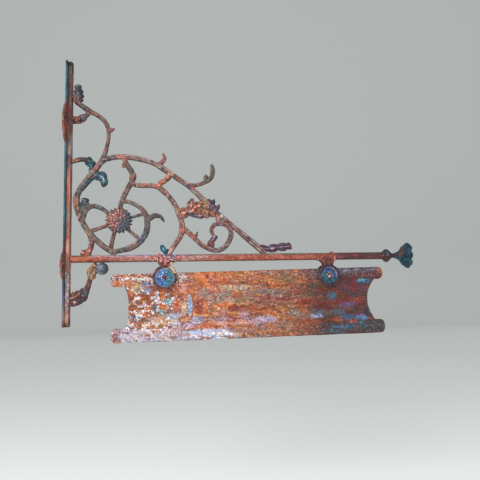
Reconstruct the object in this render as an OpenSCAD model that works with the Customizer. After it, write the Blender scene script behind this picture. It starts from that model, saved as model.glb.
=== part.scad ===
// Projecting trade sign: iron wall bracket with a scrollwork panel, and a
// scroll-shaped board that swings under its round arm.
// Frame: X runs out from the wall along the arm, Z is up, Y is across.
// The origin is on the back face of the wall plate, at the height of the arm's axis.

/* [Wall plate] */
// Thickness of the wall plate
plate_t = 5; // [4:0.5:6]
// Width of the plate between its ears
plate_w = 32; // [26:1:36]
// Half width of the ears that carry the screw holes
ear_half_w = 38; // [36:1:44]
// Radius of the screw holes
screw_r = 3.5; // [2.5:0.25:4.5]
// Screw holes each side of the middle, measured from it
screw_y = 26; // [24:1:28]
// Height of the upper pair of screw holes
screw_z_top = 364; // [360:1:368]
// Height of the lower pair of screw holes
screw_z_low = -16; // [-20:1:-12]

/* [Upright and arm] */
// Depth of the upright rib in front of the plate
rib_x = 10; // [8:0.5:11]
// Width of the upright rib
rib_w = 16; // [14:1:20]
// Top end of plate and rib
bar_top = 534; // [500:1:560]
// Bottom end of plate and rib
bar_low = -176; // [-200:1:-160]
// Radius of the round arm
arm_r = 10; // [9.5:0.5:10.5]
// Where the arm ends and the knop begins
arm_end = 857; // [850:1:870]

/* [Scrollwork] */
// Thickness of the sheet leaves
leaf_t = 8; // [5:1:10]
// Sides of each scroll's section
stem_sides = 10; // [8:2:12]
// Steps between two route points of a scroll
stem_steps = 3; // [2:1:4]

/* [Sign board] */
// Thickness of the board's sheet
board_t = 6; // [4:0.5:8]
// Length of the rolls along the board's edges
roll_len = 736; // [700:2:740]
// Height of the top roll
top_roll_h = 34; // [30:1:38]
// Height of the bottom roll
low_roll_h = 38; // [32:1:40]
// How far the board hangs out of level, in degrees
board_tilt = 0.9; // [0:0.1:1.2]

/* [Hangers] */
// Middle of the inner hanger along the arm
hang_a = 262; // [261:1:264]
// Middle of the outer hanger along the arm
hang_b = 702; // [680:1:720]
// Depth of the bolts below the arm's axis
bolt_drop = 51; // [50:0.5:52]
// Running clearance of the hangers on the arm
run_gap = 0.05; // [0.03:0.01:0.1]
// Thickness of the hanger strap
strap_t = 2.5; // [2:0.25:3]
// Radius of the inner roundels
roundel_a = 32; // [28:0.5:34]
// Radius of the outer roundels
roundel_b = 29; // [27:0.5:32]

/* [Hidden] */
$fn = 64;

face_x = plate_t + rib_x;        // front face of the upright
grip = arm_r + run_gap;          // inside of the hanger straps
cheek = grip + strap_t;          // outside of the hanger straps
hub_x = 140;                     // middle of the wheel
hub_z = 102;
hub_r = 24;
hub_t = 6;                       // half thickness of the hub
petal_r = 34;
ball_x = 97;
ball_r = 16.3;
ball_z = -arm_r - ball_r;
board_x = 488;                   // middle of the board
board_z = -125;
roll_v = 72;                     // rolls above and below the middle of the board
bolt_r = 4;
fit = 0.05;

// ---- routes of the scrolls: x, z and radius at hand-set points ----
ROUTE_WALL = [[6,450,6],[28,424,6.5],[44,411,6.5],[62,399,6.3],[82,388,5.9],[99,374,5.7],[109,354,5.7],
              [111,330,5],[107,303,5.2],[99,277,6.2],[88,255,6.8],[74,236,7],[58,218,6.8],
              [44,197,7],[33,177,7.5],[28,158,9],[32,132,8.5],[43,102,7.6],[58,76,7.4],[78,53,7.4],
              [98,35,7.4],[116,22,7],[130,12,6.5]];
ROUTE_RAFTER = [[84,248,5.5],[98,264,6.4],[114,271,7],[140,275,7.2],[170,273,7.2],[202,267,7],
                [234,256,6.6],[262,239,6.9],[298,214,6.8],[331,190,6.8],[361,161,7.2],[396,126,7.1],
                [436,92,6.2],[476,57,7.8],[500,37,8.6],[516,23,8.2],[530,10,7]];
ROUTE_DROP = [[150,276,6],[160,254,6.4],[170,238,7],[176,222,8],[172,206,7.4],[163,189,7.2],
              [154,170,7.2],[147,153,6.6],[142,134,5.8],[140,118,5.6]];
ROUTE_ARC = [[169,203,5],[184,198,6.4],[206,196,6.4],[228,196,6.5],[246,190,6.7],[263,176,6.7],
             [278,159,6.7],[291,139,6.9],[300,116,7.2],[306,96,7.4],[308,80,7.6],[304,62,7.2],
             [295,46,7],[284,30,6.6],[274,14,6.2],[270,4,6]];
ROUTE_VOLUTE = [[307,88,5],[317,75,6.2],[332,61,6.4],[346,47,6.4],[362,33,6.4],[382,23,6.6],[403,19.5,6.6],
                [421,28,6.8],[433,44,7],[439,62,6.8],[436,78,6.6],[424,89,6.4],[408,92,6.2],
                [393,88,6],[386,76,5.5],[388,65,4.4]];
ROUTE_KNOT = [[407,94,6],[405,104,7.6],[401,120,5.2]];
ROUTE_RING = [[146,150,4.5],[160,153,5.5],[178,147,5.6],[196,136,6],[209,121,6.8],[214,101,7.6],
              [214,80,8],[207,60,8.4],[191,41,8.4],[169,28,8],[150,23,7.2],[134,20,6.6],[118,20,6]];
ROUTE_TENDRIL = [[309,207,5],[322,200,5.5],[336,197,5.6],[352,199,5.4],[368,205,5.6],[382,213,6.2],
                 [389,225,6.8],[391,240,6.2],[388,253,4.2]];
ROUTE_RING_TENDRIL = [[212,100,6],[221,108,8],[232,114,7.2],[243,114,6],[252,109,4.6],[259,98,2]];
ROUTE_SPOKE_LEFT = [[34,120,5],[46,131,6.5],[58,137,6.6],[72,141,6.6],[87,138,6.2],[101,130,5.8],[114,119,5],[128,110,4.6]];
ROUTE_SPOKE_CURL = [[66,139,5],[54,128,5.4],[48,112,5.4],[47,97,4.4]];
ROUTE_SPOKE_RIGHT = [[150,105,4.4],[178,112,4.4],[208,120,4.6]];
ROUTE_SPOKE_LR = [[150,92,4.4],[172,70,4.8],[197,50,5]];
ROUTE_SPOKE_D = [[136,92,5],[126,62,5.4],[121,38,5.8],[119,26,6]];
ROUTE_SPOKE_LL = [[128,96,5],[104,87,5.2],[82,79,5.6],[61,72,6]];
ROUTE_CROSS = [[244,191,5.6],[250,203,6.4],[261,209,5.8],[270,218,6.6],[276,232,6]];
ROUTE_FOOT = [[60,72,5.4],[68,52,7],[68,34,7],[62,18,7.2],[58,4,8]];
ROUTE_ARCH = [[8,258,5],[22,263,6.2],[38,267,6.4],[52,266,6],[60,260,4.4]];
ROUTE_INNER = [[43,184,4],[51,195,4.8],[61,207,5],[72,217,5],[84,222,5]];
ROUTE_BRACE = [[4,-116,8],[22,-115,8.5],[38,-111,8.5],[50,-102,8.5],[57,-84,7.8],[63,-66,6.8],[67,-49,5.8],[71,-34,5]];
ROUTE_SPUR_A = [[110,350,6.5],[114,349,5.4],[119,350,3.6],[125,352,1.6]];
ROUTE_SPUR_B = [[240,250,7],[254,261,6.4],[261,272,4.8],[256,285,2.2]];
ROUTE_SPUR_C = [[338,54,6],[345,61,4],[348,70,1.8]];

// ---- route helpers ----
function spline(a, b, c, d, t) =
    0.5 * (2 * b + (c - a) * t + (2 * a - 5 * b + 4 * c - d) * t * t + (3 * b - a - 3 * c + d) * t * t * t);
function route(P, n) = [for (i = [0 : len(P) - 2])
    let (a = P[max(i - 1, 0)], b = P[i], c = P[i + 1], d = P[min(i + 2, len(P) - 1)])
    for (k = [0 : n - 1]) spline(a, b, c, d, k / n), P[len(P) - 1]];
function unit(v) = v / norm(v);
function heading(S, i) = let (a = S[max(i - 1, 0)], b = S[min(i + 1, len(S) - 1)]) unit([b[0] - a[0], b[1] - a[1]]);

// A round bar swept along a route in the plane of the panel. from and to pick
// the route points between which it runs, so that two pieces of one scroll
// share the same end face.
module stem(P, from = 0, to = undef) {
    n = stem_steps;
    S = route(P, n);
    i0 = from * n;
    i1 = is_undef(to) ? len(S) - 1 : to * n;
    q = i1 - i0 + 1;
    m = stem_sides;
    pts = [for (i = [i0 : i1]) let (t = heading(S, i), s = S[i]) for (k = [0 : m - 1])
        let (a = 360 * (k + 0.5) / m) [s[0] + s[2] * cos(a) * t[1], s[2] * sin(a), s[1] - s[2] * cos(a) * t[0]]];
    faces = concat([[for (k = [0 : m - 1]) k]], [[for (k = [m - 1 : -1 : 0]) (q - 1) * m + k]],
        [for (i = [0 : q - 2]) for (k = [0 : m - 1])
            [i * m + k, (i + 1) * m + k, (i + 1) * m + (k + 1) % m, i * m + (k + 1) % m]]);
    polyhedron(pts, faces, convexity = 8);
}

// The room beside a scroll, d wide: on the left of its heading if d > 0. It
// keeps a leaf that starts in a scroll on one side of it.
module side_room(P, from, to, d) {
    n = stem_steps;
    S = route(P, n);
    in_panel(60) polygon(concat([for (i = [from * n : to * n]) [S[i][0], S[i][1]]],
        [for (i = [to * n : -1 : from * n]) let (t = heading(S, i)) [S[i][0] - d * t[1], S[i][1] + d * t[0]]]));
}

// Outline of a lobed leaf along a midrib: half width w, a number of lobes on
// each edge, and a blunt root of width root. With blunt above 0 the tip is cut
// off before the leaf narrows to a point.
function leaf_w(u, w, lobes, root, blunt) = let (b = u * (1 - blunt))
    max(0.02 * w, (root * (1 - b) * (1 - b) + w * pow(sin(180 * min(1, pow(b, 0.8))), 0.7)) * (0.74 + 0.26 * abs(sin(180 * lobes * u))));
function leaf_outline(P, w, lobes, root, blunt = 0) =
    let (S = route([for (p = P) [p[0], p[1], 0]], 8), m = len(S) - 1)
    concat([for (i = [0 : m]) let (t = heading(S, i), h = leaf_w(i / m, w, lobes, root, blunt)) [S[i][0] - t[1] * h, S[i][1] + t[0] * h]],
           [for (i = [m : -1 : 0]) let (t = heading(S, i), h = leaf_w(i / m, w, lobes, root, blunt)) [S[i][0] + t[1] * h, S[i][1] - t[0] * h]]);
module in_panel(t) { rotate([90, 0, 0]) linear_extrude(height = t, center = true) children(); }
module leaf(P, w, lobes, root, t = leaf_t, blunt = 0) { in_panel(t) polygon(leaf_outline(P, w, lobes, root, blunt)); }

module along_x(x0, x1, r, z = 0) { translate([x0, 0, z]) rotate([0, 90, 0]) cylinder(h = x1 - x0, r = r); }
module along_y(y0, y1, r) { rotate([90, 0, 0]) translate([0, 0, -y1]) cylinder(h = y1 - y0, r = r); }
module arm_room() { along_x(0, 900, arm_r); }
module rib_room() { translate([-10, -12, bar_low]) cube([10 + face_x, 24, bar_top - bar_low]); }

// ---- wall side ----
module wall_plate() {
    color("#5f6e74") difference() {
        union() {
            translate([0, -plate_w / 2, bar_low]) cube([plate_t, plate_w, bar_top - bar_low]);
            ear(screw_z_top, 110);
            ear(screw_z_low, 76);
        }
        for (z = [screw_z_top, screw_z_low], y = [-screw_y, screw_y]) translate([0, y, z]) {
            along_x(-1, plate_t + 1, screw_r);
            translate([plate_t - 2, 0, 0]) rotate([0, 90, 0]) cylinder(h = 2.5, r1 = screw_r, r2 = screw_r + 3);
        }
        along_x(-1, plate_t + 1, 7 + fit);
        for (z = RIVETS) along_x(-1, plate_t + 1, 3 + fit, z);
    }
}
RIVETS = [500, 310, 90, -145];
// An ear is a disc of its half width drawn out along the plate by two flanks.
module ear(z, h) {
    e = ear_half_w;
    f = [for (k = [0 : 24]) let (s = -1 + k / 12) [e * sqrt(max(0, 1 - s * s * 0.82)), z + s * h / 2]];
    rotate([90, 0, 90]) linear_extrude(height = plate_t)
        polygon(concat(f, [for (k = [24 : -1 : 0]) [-f[k][0], f[k][1]]]));
}
module spine_bar() {
    r = 3;
    color("#7c4a38") difference() {
        translate([0, 0, bar_low]) linear_extrude(height = bar_top - bar_low) union() {
            translate([plate_t, -rib_w / 2]) square([rib_x - r, rib_w]);
            translate([plate_t, -rib_w / 2 + r]) square([rib_x, rib_w - 2 * r]);
            for (s = [-1, 1]) translate([face_x - r, s * (rib_w / 2 - r)]) circle(r);
        }
        along_x(0, face_x + 1, 7 + fit);
        for (z = RIVETS) along_x(0, face_x + 1, 3 + fit, z);
        translate([face_x - 4, 0, bar_top - 10]) along_y(-20, 20, 1.6);
    }
}
module spine_rivets() {
    color("#6b3f31") for (z = RIVETS) along_x(0, face_x + 0.8, 3, z);
}

// ---- arm and finial ----
module arm_bar() {
    color("#9c5034") difference() {
        union() {
            along_x(0, face_x + 1, 7);
            along_x(face_x, arm_end, arm_r);
        }
        along_x(arm_end - 26, arm_end + 1, 4 + fit);
    }
}
module finial_knop() {
    color("#6e3a36") difference() {
        union() {
            translate([arm_end, 0, 0]) rotate([0, 90, 0]) rotate_extrude() polygon(concat([[0, 0], [11, 0]],
                [for (a = [-60 : 12 : 60]) [11 + 7 * cos(a) , 12.5 + 12 * sin(a) * 0.98]], [[9, 25], [0, 25]]));
            along_x(arm_end - 25, arm_end + 1, 4);
        }
        along_x(arm_end + 15, arm_end + 26, 3.5 + fit);
    }
}
// The flower is a trumpet with a fat rolled rim, notched into eight petals.
module finial_flower() {
    color("#2f6e74") difference() {
        union() {
            translate([arm_end + 25, 0, 0]) rotate([0, 90, 0]) rotate_extrude() polygon([
                [0, 0], [7.5, 0], [6, 4], [6, 7], [8.4, 12], [11.5, 17.5], [15.5, 23], [20.5, 27.5], [26, 31.5],
                [31, 36], [34.6, 41], [35.6, 45], [34.4, 49.5], [31, 53.2], [28, 55], [26, 52.5], [25, 47],
                [21, 40], [15, 33], [9, 26], [4.5, 19], [0, 16]]);
            along_x(arm_end + 15.5, arm_end + 26, 3.5);
        }
        for (k = [0 : 7]) rotate([45 * k + 22.5, 0, 0]) translate([arm_end + 71, 0, 43])
            sphere(r = 13);
    }
}

// ---- scrollwork panel ----
module top_leaf() {
    color("#2c4f50") difference() {
        leaf([[29, 414], [30.5, 434], [30, 454], [28, 473]], 10.5, 4, 8, blunt = 0.2);
        stem(ROUTE_WALL, 0, 3);
        side_room(ROUTE_WALL, 0, 3, -14);
        rib_room();
    }
}
module upper_scroll() {
    color("#8a4a38") difference() {
        stem(ROUTE_WALL, 0, 10);
        rib_room();
    }
}
module upper_scroll_spur() {
    color("#8a4a38") difference() { scale([1, 0.7, 1]) stem(ROUTE_SPUR_A); stem(ROUTE_WALL, 5, 8); }
}
module top_lug() {
    color("#7a4034") difference() {
        along_x(face_x - 2, 37, 10, 375);
        rib_room();
    }
}
module lug_tie_leaf() {
    color("#6c4a46") difference() {
        leaf([[33, 375], [45, 383], [56, 392], [64, 400]], 6.5, 2, 8);
        along_x(0, 37, 10, 375);
        stem(ROUTE_WALL, 1, 5);
        side_room(ROUTE_WALL, 1, 5, 16);
    }
}
module main_scroll() {
    color("#a05a3a") difference() {
        stem(ROUTE_WALL, 10);
        rib_room();
        arm_room();
    }
}
module arch_branch() {
    color("#8c4c38") difference() {
        stem(ROUTE_ARCH);
        rib_room();
    }
}
module arch_leaf() {
    color("#2d6670") difference() {
        leaf([[50, 266], [63, 259], [68, 245], [62, 222]], 10.5, 3, 5);
        stem(ROUTE_ARCH);
        stem(ROUTE_WALL, 10, 13);
        side_room(ROUTE_WALL, 10, 13, 18);
    }
}
// The leaf hangs from a thin stalk that leaves the scroll beside it.
module inner_leaf() {
    color("#2d6670") difference() {
        union() {
            stem(ROUTE_INNER);
            leaf([[70, 222], [86, 224], [100, 213], [98, 192]], 12, 3, 6, blunt = 0.1);
        }
        stem(ROUTE_WALL, 9, 16);
        side_room(ROUTE_WALL, 9, 16, -24);
    }
}
module rafter() {
    color("#a4563a") difference() {
        stem(ROUTE_RAFTER);
        stem(ROUTE_WALL, 8, 12);
        arm_room();
    }
}
module rafter_spur() {
    color("#8a4a38") difference() { scale([1, 0.8, 1]) stem(ROUTE_SPUR_B); stem(ROUTE_RAFTER, 5, 8); }
}
module rafter_foot_leaf() {
    color("#7d5348") difference() {
        leaf([[512, 27], [538, 22], [566, 26], [592, 28], [603, 32]], 9.5, 4, 5, blunt = 0.4);
        stem(ROUTE_RAFTER, 12);
        side_room(ROUTE_RAFTER, 12, 16, -14);
        arm_room();
    }
}
module upper_tendril() {
    color("#9a5238") difference() { stem(ROUTE_TENDRIL); stem(ROUTE_RAFTER, 7, 11); }
}
module tendril_leaf() {
    color("#7d5a46") difference() {
        leaf([[377, 208], [373, 216], [371, 227]], 5, 1, 6, blunt = 0.2);
        stem(ROUTE_TENDRIL, 3, 7);
        side_room(ROUTE_TENDRIL, 3, 6, -12);
    }
}
module drop_strut() {
    color("#8c4c38") difference() { stem(ROUTE_DROP, 0, 4); stem(ROUTE_RAFTER, 2, 6); }
}
module drop_leaf() {
    color("#6a4a40") difference() {
        leaf([[162, 262], [154, 254], [148, 245]], 6.5, 2, 5);
        stem(ROUTE_DROP, 0, 3);
        side_room(ROUTE_DROP, 0, 3, 14);
        stem(ROUTE_RAFTER, 2, 6);
    }
}
module wheel_stay() {
    color("#94503a") difference() {
        stem(ROUTE_DROP, 4);
        hub_room();
    }
}
module inner_arc() {
    color("#a4563a") difference() {
        stem(ROUTE_ARC);
        stem(ROUTE_DROP, 2, 6);
        arm_room();
    }
}
module arc_foot_leaf() {
    color("#37525a") difference() {
        leaf([[277, 16], [265, 17], [257, 24], [252, 36]], 6.5, 2, 5, 7, blunt = 0.2);
        stem(ROUTE_ARC, 12);
        side_room(ROUTE_ARC, 11, 15, 14);
        arm_room();
    }
}
module cross_strut() {
    color("#8a5040") difference() { stem(ROUTE_CROSS); stem(ROUTE_ARC, 2, 6); stem(ROUTE_RAFTER, 5, 9); }
}
module cross_leaf() {
    color("#9a6236") difference() {
        in_panel(leaf_t) union() {
            polygon(leaf_outline([[298, 120], [315, 122], [332, 126], [342, 134]], 11, 2, 9, 0.3));
            polygon(leaf_outline([[334, 130], [354, 141], [372, 140], [388, 130]], 12, 3, 8, 0.3));
            polygon(leaf_outline([[396, 122], [376, 118], [352, 113], [328, 114]], 7.5, 4, 8));
            polygon(leaf_outline([[330, 128], [332, 148], [336, 162]], 9, 3, 8));
            polygon(leaf_outline([[336, 122], [362, 127], [388, 127]], 7, 1, 4));
        }
        stem(ROUTE_ARC, 6, 10);
        side_room(ROUTE_ARC, 6, 10, -16);
        stem(ROUTE_RAFTER, 8, 13);
        side_room(ROUTE_RAFTER, 8, 13, 24);
    }
}
module rafter_top_leaf() {
    color("#5a4a48") difference() {
        in_panel(leaf_t) union() {
            polygon(leaf_outline([[374, 156], [388, 143], [404, 127]], 6, 1, 6));
            polygon(leaf_outline([[380, 140], [389, 148], [395, 159]], 6.5, 2, 7));
            polygon(leaf_outline([[392, 128], [402, 134], [409, 145]], 5.5, 2, 7));
        }
        stem(ROUTE_RAFTER, 8, 13);
        side_room(ROUTE_RAFTER, 8, 13, -14);
    }
}
module volute_scroll() {
    color("#a05a3a") difference() {
        union() {
            stem(ROUTE_VOLUTE);
            stem(ROUTE_KNOT);
        }
        stem(ROUTE_ARC, 7, 13);
        stem(ROUTE_RAFTER, 10, 14);
        side_room(ROUTE_RAFTER, 9, 14, 30);
        arm_room();
    }
}
module volute_spur() {
    color("#8a4a38") difference() { scale([1, 0.8, 1]) stem(ROUTE_SPUR_C); stem(ROUTE_VOLUTE, 1, 5); }
}
module volute_leaf() {
    color("#7d5348") difference() {
        leaf([[383, 24], [385, 40], [391, 50], [402, 58]], 7, 2, 6, blunt = 0.15);
        stem(ROUTE_VOLUTE);
        side_room(ROUTE_VOLUTE, 3, 6, -12);
    }
}
module wheel_ring() {
    color("#4c5f66") difference() {
        stem(ROUTE_RING);
        stem(ROUTE_DROP, 5);
        stem(ROUTE_WALL, 19);
        arm_room();
    }
}
module ring_tendril() {
    color("#8a5040") difference() { stem(ROUTE_RING_TENDRIL); stem(ROUTE_RING, 3, 8); }
}
module hub_room() { translate([hub_x, 0, hub_z]) along_y(-hub_t, hub_t, hub_r); }
module hub_disc() {
    color("#7a4034") difference() {
        hub_room();
        translate([hub_x, 0, hub_z]) along_y(-20, 20, 3 + fit);
    }
}
// Two rings of petals over a round back, with a bored boss in the middle.
module rosette() {
    difference() {
        union() {
            rotate([90, 0, 0]) linear_extrude(height = 4) petals(18, petal_r, 4.6);
            translate([0, -4, 0]) rotate([90, 0, 0]) linear_extrude(height = 3) petals(14, petal_r * 0.68, 3.6);
            along_y(-9.5, 0, 8);
        }
        along_y(-20, 1, 3 + fit);
    }
}
module petals(n, r, c) {
    circle(r * 0.74);
    for (k = [0 : n - 1]) rotate(360 * k / n) translate([r - c, 0]) circle(c);
}
module rosette_front() {
    color("#8c4f3a") translate([hub_x, -hub_t, hub_z]) rosette();
}
module rosette_back() {
    color("#8c4f3a") translate([hub_x, hub_t, hub_z]) rotate([0, 0, 180]) rosette();
}
module hub_rivet() {
    color("#5b6f78") translate([hub_x, 0, hub_z]) {
        along_y(-hub_t - 9.5, hub_t + 9.5, 3);
        for (s = [0, 180]) rotate([0, 0, s]) translate([0, -hub_t - 9.5, 0]) rotate([90, 0, 0])
            rotate_extrude() polygon([[0, 0], [5.5, 0], [5, 1.6], [3.4, 2.8], [0, 3.2]]);
    }
}
module spoke_left() {
    color("#96603c") difference() {
        union() {
            stem(ROUTE_SPOKE_LEFT);
            stem(ROUTE_SPOKE_CURL);
        }
        stem(ROUTE_WALL, 14, 19);
        hub_room();
    }
}
module spoke_left_leaf() {
    color("#2f4a4c") difference() {
        leaf([[50, 130], [50, 147], [52, 163]], 10, 3, 8, blunt = 0.25);
        stem(ROUTE_SPOKE_LEFT, 0, 4);
        side_room(ROUTE_SPOKE_LEFT, 0, 4, -14);
        stem(ROUTE_WALL, 13, 18);
    }
}
module spoke_right() {
    color("#8a5040") difference() { stem(ROUTE_SPOKE_RIGHT); stem(ROUTE_RING, 3, 6); hub_room(); }
}
module spoke_low_right() {
    color("#8a5040") difference() { stem(ROUTE_SPOKE_LR); stem(ROUTE_RING, 6, 9); hub_room(); }
}
module spoke_down() {
    color("#8a5040") difference() {
        stem(ROUTE_SPOKE_D);
        stem(ROUTE_RING, 9);
        stem(ROUTE_WALL, 19);
        hub_room();
    }
}
module spoke_low_left() {
    color("#8a5040") difference() { stem(ROUTE_SPOKE_LL); stem(ROUTE_WALL, 16, 20); hub_room(); }
}
module foot_strut() {
    color("#8c4c38") difference() { stem(ROUTE_FOOT); stem(ROUTE_WALL, 16, 20); arm_room(); }
}
module foot_leaf() {
    color("#7d4a3c") difference() {
        leaf([[64, 15], [56, 15], [49, 16], [42, 19]], 7.5, 2, 7, blunt = 0.3);
        stem(ROUTE_FOOT);
        side_room(ROUTE_FOOT, 1, 4, 14);
        arm_room();
    }
}

// ---- brace under the arm ----
module brace_scroll() {
    color("#7a4038") difference() {
        stem(ROUTE_BRACE);
        rib_room();
        calyx_body();
        ball_room();
    }
}
module ball_room() { translate([ball_x, 0, ball_z]) sphere(ball_r); }
module calyx_body() {
    leaf([[70, -54], [72, -40], [76, -26], [80, -4]], 11, 3, 3, 12);
}
module brace_leaf() {
    color("#6e3040") difference() {
        leaf([[8, -104], [26, -100], [40, -90], [55, -74]], 11.5, 4, 9);
        stem(ROUTE_BRACE);
        side_room(ROUTE_BRACE, 0, 6, -20);
        rib_room();
    }
}
module brace_calyx() {
    color("#b08a4a") difference() {
        calyx_body();
        ball_room();
        arm_room();
    }
}
module brace_ball() {
    color("#4a6074") ball_room();
}

// ---- hangers ----
// Side view of a hanger with its bolt at x = 0: a narrow strap over the arm on
// the outer side, cheeks that flare inwards under the arm, and a round eye.
function hanger_outline() = concat(
    [[-20, cheek + 2], [-9, cheek + 2], [-9, -3], [16, -3], [27, -5.5], [31, -9], [22, -12], [15, -16], [12, -21],
     [13, -30]],
    [for (k = [0 : 24]) let (a = 44 - k * 268 / 24) [18 * cos(a), 18 * sin(a) - bolt_drop]],
    [[-13, -30], [-14, -21], [-17, -14], [-20, -14]]);
// The strap passes over the arm and down both of its sides.
module hanger(x, s) {
    difference() {
        intersection() {
            union() {
                along_x(x - 60, x + 60, cheek);
                translate([x - 60, -cheek, -80]) cube([120, 2 * cheek, 80]);
            }
            translate([x, 0, 0]) scale_x(s) in_panel(40) polygon(hanger_outline());
        }
        along_x(x - 61, x + 61, grip);
        translate([x - 61, -grip, -90]) cube([122, 2 * grip, 90]);
        translate([x, 0, -bolt_drop]) along_y(-30, 30, bolt_r + fit);
    }
}
module scale_x(s) { if (s < 0) mirror([1, 0, 0]) children(); else children(); }
module hanger_left() { color("#8a3e34") hanger(hang_a, 1); }
module hanger_right() { color("#8a3e34") hanger(hang_b, -1); }
// A roundel has a raised rim, a dished ring and a raised middle.
module roundel(r) {
    rotate([90, 0, 0]) difference() {
        rotate_extrude() polygon([[0, 0], [r - 0.8, 0], [r, 1], [r, 4.4], [r - 1.4, 6], [r - 3.6, 6], [r - 5, 4.4],
            [r - 6.4, 3], [r - 9, 3], [r - 10, 4.4], [r - 12, 5.4], [9, 5.4], [7.5, 6.4], [0, 6.4]]);
        translate([0, 0, -1]) cylinder(h = 10, r = bolt_r + fit);
    }
}
module roundel_front_left() { color("#1f6f80") translate([hang_a, -cheek, -bolt_drop]) roundel(roundel_a); }
module roundel_front_right() { color("#1f6f80") translate([hang_b, -cheek, -bolt_drop]) roundel(roundel_b); }
module roundel_back_left() { color("#1f6f80") translate([hang_a, cheek, -bolt_drop]) rotate([0, 0, 180]) roundel(roundel_a); }
module roundel_back_right() { color("#1f6f80") translate([hang_b, cheek, -bolt_drop]) rotate([0, 0, 180]) roundel(roundel_b); }
module hanger_bolts() {
    color("#7a3a38") for (x = [hang_a, hang_b]) translate([x, 0, -bolt_drop]) {
        along_y(-cheek - 6.4, cheek + 6.4 + 6, bolt_r);
        translate([0, -cheek - 6.4, 0]) rotate([90, 0, 0]) rotate_extrude()
            polygon([[0, 0], [6.2, 0], [6, 1.6], [4.8, 3], [2.6, 3.9], [0, 4.2]]);
    }
}
module hanger_nuts() {
    color("#6a4038") for (x = [hang_a, hang_b]) translate([x, cheek + 6.4, -bolt_drop]) rotate([-90, 0, 0])
        difference() {
            cylinder(h = 5, r = 7.5, $fn = 6);
            translate([0, 0, -1]) cylinder(h = 8, r = bolt_r + fit);
        }
}

// ---- board ----
module on_board() { translate([board_x, 0, board_z]) rotate([0, -board_tilt, 0]) children(); }
module bolt_ways() { for (x = [hang_a, hang_b]) translate([x, 0, -bolt_drop]) along_y(-40, 40, bolt_r + fit); }
// A roll is a flattened bar with rounded ends, h high.
module roll_body(v, h, len) {
    r = grip;
    translate([0, 0, v]) intersection() {
        rotate([90, 0, 90]) linear_extrude(height = len + 10, center = true) union() {
            square([2 * r, h - 2 * r], center = true);
            for (s = [-1, 1]) translate([0, s * (h / 2 - r)]) circle(r);
        }
        in_panel(60) union() {
            square([len, h - 18], center = true);
            square([len - 18, h + 2], center = true);
            for (s = [-1, 1], t = [-1, 1]) translate([s * (len / 2 - 9), t * (h / 2 - 9)]) circle(9);
        }
    }
}
module top_roll() {
    color("#b0643a") difference() {
        on_board() roll_body(roll_v, top_roll_h, roll_len);
        bolt_ways();
    }
}
module bottom_roll() {
    color("#b0643a") on_board() roll_body(-roll_v, low_roll_h, roll_len);
}
// The sheet's ends are hollowed, the outer one more than the inner one.
module sign_board() {
    h = 56;
    color("#b86a44") difference() {
        on_board() in_panel(board_t) polygon(concat(
            [for (k = [0 : 16]) let (s = 1 - k / 8) [-337 + 15 * (1 - pow(abs(s), 4)), s * (h + 4)]],
            [for (k = [0 : 16]) let (s = -1 + k / 8) [347 - 24 * (1 - s * s), s * (h + 4)]]));
        on_board() roll_body(roll_v, top_roll_h, roll_len);
        on_board() roll_body(-roll_v, low_roll_h, roll_len);
    }
}

wall_plate();
spine_bar();
spine_rivets();
arm_bar();
finial_knop();
finial_flower();
top_leaf();
upper_scroll();
upper_scroll_spur();
top_lug();
lug_tie_leaf();
main_scroll();
arch_branch();
arch_leaf();
inner_leaf();
rafter();
rafter_spur();
rafter_foot_leaf();
upper_tendril();
tendril_leaf();
drop_strut();
drop_leaf();
wheel_stay();
inner_arc();
arc_foot_leaf();
cross_strut();
cross_leaf();
rafter_top_leaf();
volute_scroll();
volute_spur();
volute_leaf();
wheel_ring();
ring_tendril();
hub_disc();
rosette_front();
rosette_back();
hub_rivet();
spoke_left();
spoke_left_leaf();
spoke_right();
spoke_low_right();
spoke_down();
spoke_low_left();
foot_strut();
foot_leaf();
brace_scroll();
brace_leaf();
brace_calyx();
brace_ball();
hanger_left();
hanger_right();
roundel_front_left();
roundel_front_right();
roundel_back_left();
roundel_back_right();
hanger_bolts();
hanger_nuts();
sign_board();
top_roll();
bottom_roll();
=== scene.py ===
# Projecting trade sign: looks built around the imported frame. Lengths below are in millimetres until make() turns
# them into metres. X runs out along the arm, Z is up, and the viewer looks along +Y.
import bpy
import math
import numpy as np
from mathutils import Matrix, Vector


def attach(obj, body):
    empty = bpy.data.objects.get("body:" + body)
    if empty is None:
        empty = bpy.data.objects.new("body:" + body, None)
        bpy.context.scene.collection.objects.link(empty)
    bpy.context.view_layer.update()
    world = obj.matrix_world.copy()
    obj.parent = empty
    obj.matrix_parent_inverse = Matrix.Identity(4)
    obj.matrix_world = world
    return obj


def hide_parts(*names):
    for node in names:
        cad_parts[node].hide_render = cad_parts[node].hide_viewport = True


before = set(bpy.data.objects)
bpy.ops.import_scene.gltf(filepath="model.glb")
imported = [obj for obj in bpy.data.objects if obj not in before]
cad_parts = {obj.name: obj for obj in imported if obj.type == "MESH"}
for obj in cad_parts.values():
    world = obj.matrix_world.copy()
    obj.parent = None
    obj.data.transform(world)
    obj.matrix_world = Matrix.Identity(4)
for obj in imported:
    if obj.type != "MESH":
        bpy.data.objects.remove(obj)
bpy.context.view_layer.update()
MM = 0.001
scene = bpy.context.scene


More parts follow.
